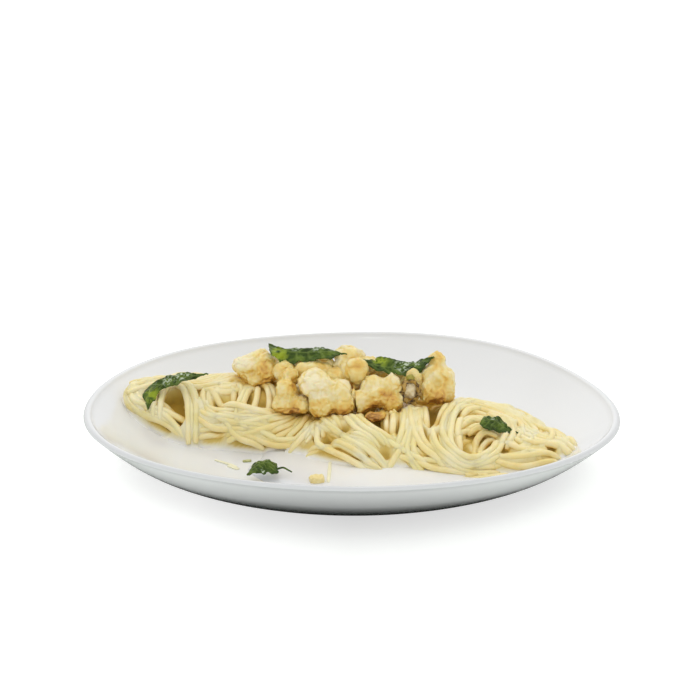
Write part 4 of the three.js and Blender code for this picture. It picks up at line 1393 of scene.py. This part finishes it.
def make_blade(name, rib, near, far, bright, fleck_and_glare_spots, shift):
    """A thin crumpled leaf between its midrib and its two edges."""
    rib_line = smooth_path(rib, count=ALONG)
    near_line = smooth_path([rib[0]] + near + [rib[-1]], count=ALONG)
    far_line = smooth_path([rib[0]] + far + [rib[-1]], count=ALONG)
    bpy.ops.mesh.primitive_grid_add(x_subdivisions=ALONG - 1, y_subdivisions=ACROSS - 1, size=2)
    blade = bpy.context.object
    blade.name = name
    veins, brights, cream_flecks_and_glare = [], [], []
    for vertex in blade.data.vertices:
        i = int(round((vertex.co.x + 1) / 2 * (ALONG - 1)))
        along = i / (ALONG - 1)
        side = vertex.co.y
        out = abs(side)
        edge = (near_line if side < 0 else far_line)[i] - rib_line[i]
        edge_wave = noise.noise(Vector((along * 9, 3 * math.copysign(1, side), 0)) + shift)
        spot = Vector(rib_line[i] + edge * out * (1 + RAGGED * edge_wave))
        crumple = noise.noise_vector(spot / 3.4 + shift) * 1.1
        crumple += noise.noise_vector(spot / 1.3 - shift) * 0.4
        open_share = min(1, out * 3) * min(1, 6 * along, 6 * (1 - along))
        phase = along * VEINS - out * VEIN_SLANT
        vein = math.exp(-(((phase - round(phase)) / VEIN_WIDTH) ** 2)) * (1 - out**4)
        vein = max(vein, math.exp(-((out / RIB_WIDTH) ** 2)))
        raised = Vector((0, 0, VEIN_HEIGHT)) * vein * min(1, 5 * along, 5 * (1 - along))
        spot += crumple * open_share + raised
        spot.z += 0.5 * math.sin(math.pi * out) * (1 if side > 0 else -0.3)
        vertex.co = spot * MM
        veins.append(vein)
        brights.append(near_spots(spot, bright))
        cream_flecks_and_glare.append(near_spots(spot, fleck_and_glare_spots))
    store(blade, "veins", veins)
    store(blade, "brightness", brights)
    store(blade, "cream_flecks_and_glare", cream_flecks_and_glare)
    edit_all(blade)
    close_up(0.02)
    solid = blade.modifiers.new("thickness", "SOLIDIFY")
    solid.thickness = BLADE_THICK * MM
    solid.offset = 0
    bpy.ops.object.modifier_apply(modifier="thickness")
    bpy.ops.object.shade_smooth_by_angle(angle=math.radians(60))
    blade.select_set(False)
    return blade


def product_node(tree, first, second):
    """Two shares, one times the other."""
    product = tree.nodes.new("ShaderNodeMath")
    product.operation = "MULTIPLY"
    tree.links.new(first, product.inputs[0])
    tree.links.new(second, product.inputs[1])
    return product.outputs[0]


leaf_paint, tree, shader = new_material("fried_leaf", 0.32)
tone = ramp_node(tree, noise_node(tree, 260, 4.0), LEAF_TONES)
vein_stops = [(0.3, (0, 0, 0)), (1.0, (0.45, 0.45, 0.45))]
vein_share = ramp_node(tree, attribute_node(tree, "veins"), vein_stops)
tone = mix_node(tree, vein_share, tone, (0.20, 0.27, 0.06))
# Painted light: bright yellow-green where light falls through the leaf.
lit_through_patches = ramp_node(tree, noise_node(tree, 330), [(0.4, (0, 0, 0)), (0.55, (1, 1, 1))])
bright_share = product_node(tree, attribute_node(tree, "brightness"), lit_through_patches)
tone = mix_node(tree, bright_share, tone, (0.30, 0.38, 0.02))
# Pale flecks: partly cream stuck to the leaf, partly a painted glare.
specks = ramp_node(tree, noise_node(tree, 700, 2.0), [(0.5, (0, 0, 0)), (0.62, (1, 1, 1))])
fleck_and_glare_share = product_node(tree, attribute_node(tree, "cream_flecks_and_glare"), specks)
tone = mix_node(tree, fleck_and_glare_share, tone, (0.60, 0.68, 0.52))
tree.links.new(tone, shader.inputs["Base Color"])
shader.inputs["Specular IOR Level"].default_value = 0.25
bump_node(tree, shader, noise_node(tree, 600), 0.35, 0.7)

stalk_widths = 1.3 - 0.5 * np.arange(STALK_POINTS) / STALK_POINTS
for i, (node, (rib, near, far, stalk_points, bright, fleck_and_glare_spots)) in enumerate(LEAVES.items()):
    shift = Vector((4.7 * i, 0, 1.3 * i))
    blade = make_blade(f"blade_{node}", rib, near, far, bright, fleck_and_glare_spots, shift)
    stalk_line = smooth_path(stalk_points, count=STALK_POINTS)
    stalk = make_tubes(f"stalk_{node}", [stalk_line], STALK, [stalk_widths])
    for piece in (blade, stalk):
        piece.data.materials.append(leaf_paint)
        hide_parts(node)
        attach(piece, "root")

# ---------------------------------------------------------------------------------- small bits
# What has dropped into the sauce: a fried crumb, three slivers of onion, a fleck of leaf and two
# specks of batter at the heap's foot. Each is a rounded block, roughened and half sunk in.

BIT_ROUND = 1.25  # makes up for what the rounding takes off
BIT_STANDS = 0.2  # how far its middle stands over the sauce, as a share of its height
BIT_ROUGH = 0.22  # how rough it is, as a share of its width or height
SLIVER_TONES = [(0.35, (0.77, 0.74, 0.50)), (0.65, (0.82, 0.79, 0.58))]
CRUMB_TONES = [(0.35, (0.74, 0.58, 0.22)), (0.65, (0.84, 0.72, 0.36))]
FLECK_TONES = [(0.35, (0.30, 0.30, 0.10)), (0.65, (0.55, 0.55, 0.26))]

# Each bit: its place in the plan, its length, width and height, how far it is turned, its slot.
BITS = {
    "crumb": (-15.6, -59.5, 4.2, 4.0, 2.6, 12, "batter"),
    "sliver_1": (-10, -48, 17, 1.0, 0.6, 89, "cream"),
    "sliver_2": (-60, -31, 9, 1.0, 0.6, -40, "cream"),
    "sliver_3": (-56, -36.5, 4.5, 1.6, 0.6, -45, "cream"),
    "leaf_fleck": (-50, -28, 2.6, 1.4, 0.8, 10, "leaf"),
    "speck_1": (57, -52.5, 4, 2, 1.6, 20, "batter"),
    "speck_2": (62, -53, 3, 1.8, 1.4, -25, "batter"),
}

pool_top = surface_of(pool.data)
bit_paints = {
    "cream": mottled("onion_sliver", 0.3, 260, SLIVER_TONES),
    "batter": mottled("fried_crumb", 0.45, 420, CRUMB_TONES),
    "leaf": mottled("leaf_fleck", 0.4, 600, FLECK_TONES),
}

for name, (x, y, long, wide, high, turn, slot) in BITS.items():
    bpy.ops.mesh.primitive_cube_add(size=1)
    bit = bpy.context.object
    bit.name = name
    rounding = bit.modifiers.new("rounding", "SUBSURF")
    rounding.levels = 4
    rounding.render_levels = 4
    bpy.ops.object.modifier_apply(modifier="rounding")
    hit = pool_top.ray_cast(Vector((x, y, MAP_TOP)) * MM, Vector((0, 0, -1)))[0]
    base = max(hit.z / MM if hit else 0, float(plate_top(x, y)))
    cosine, sine = math.cos(math.radians(turn)), math.sin(math.radians(turn))
    for vertex in bit.data.vertices:
        corner = Vector((math.copysign(abs(c) ** 0.5, c) for c in vertex.co)) * BIT_ROUND
        a, b, c = corner.x * long, corner.y * wide, corner.z * high
        lifted = base + c + high * BIT_STANDS
        spot = Vector((x + a * cosine - b * sine, y + a * sine + b * cosine, lifted))
        rough = noise.noise_vector(spot / 1.4) * BIT_ROUGH * min(wide, high)
        vertex.co = (spot + rough) * MM
    bpy.ops.object.shade_smooth()
    bit.data.materials.append(bit_paints[slot])
    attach(bit, "root")
    bit.select_set(False)
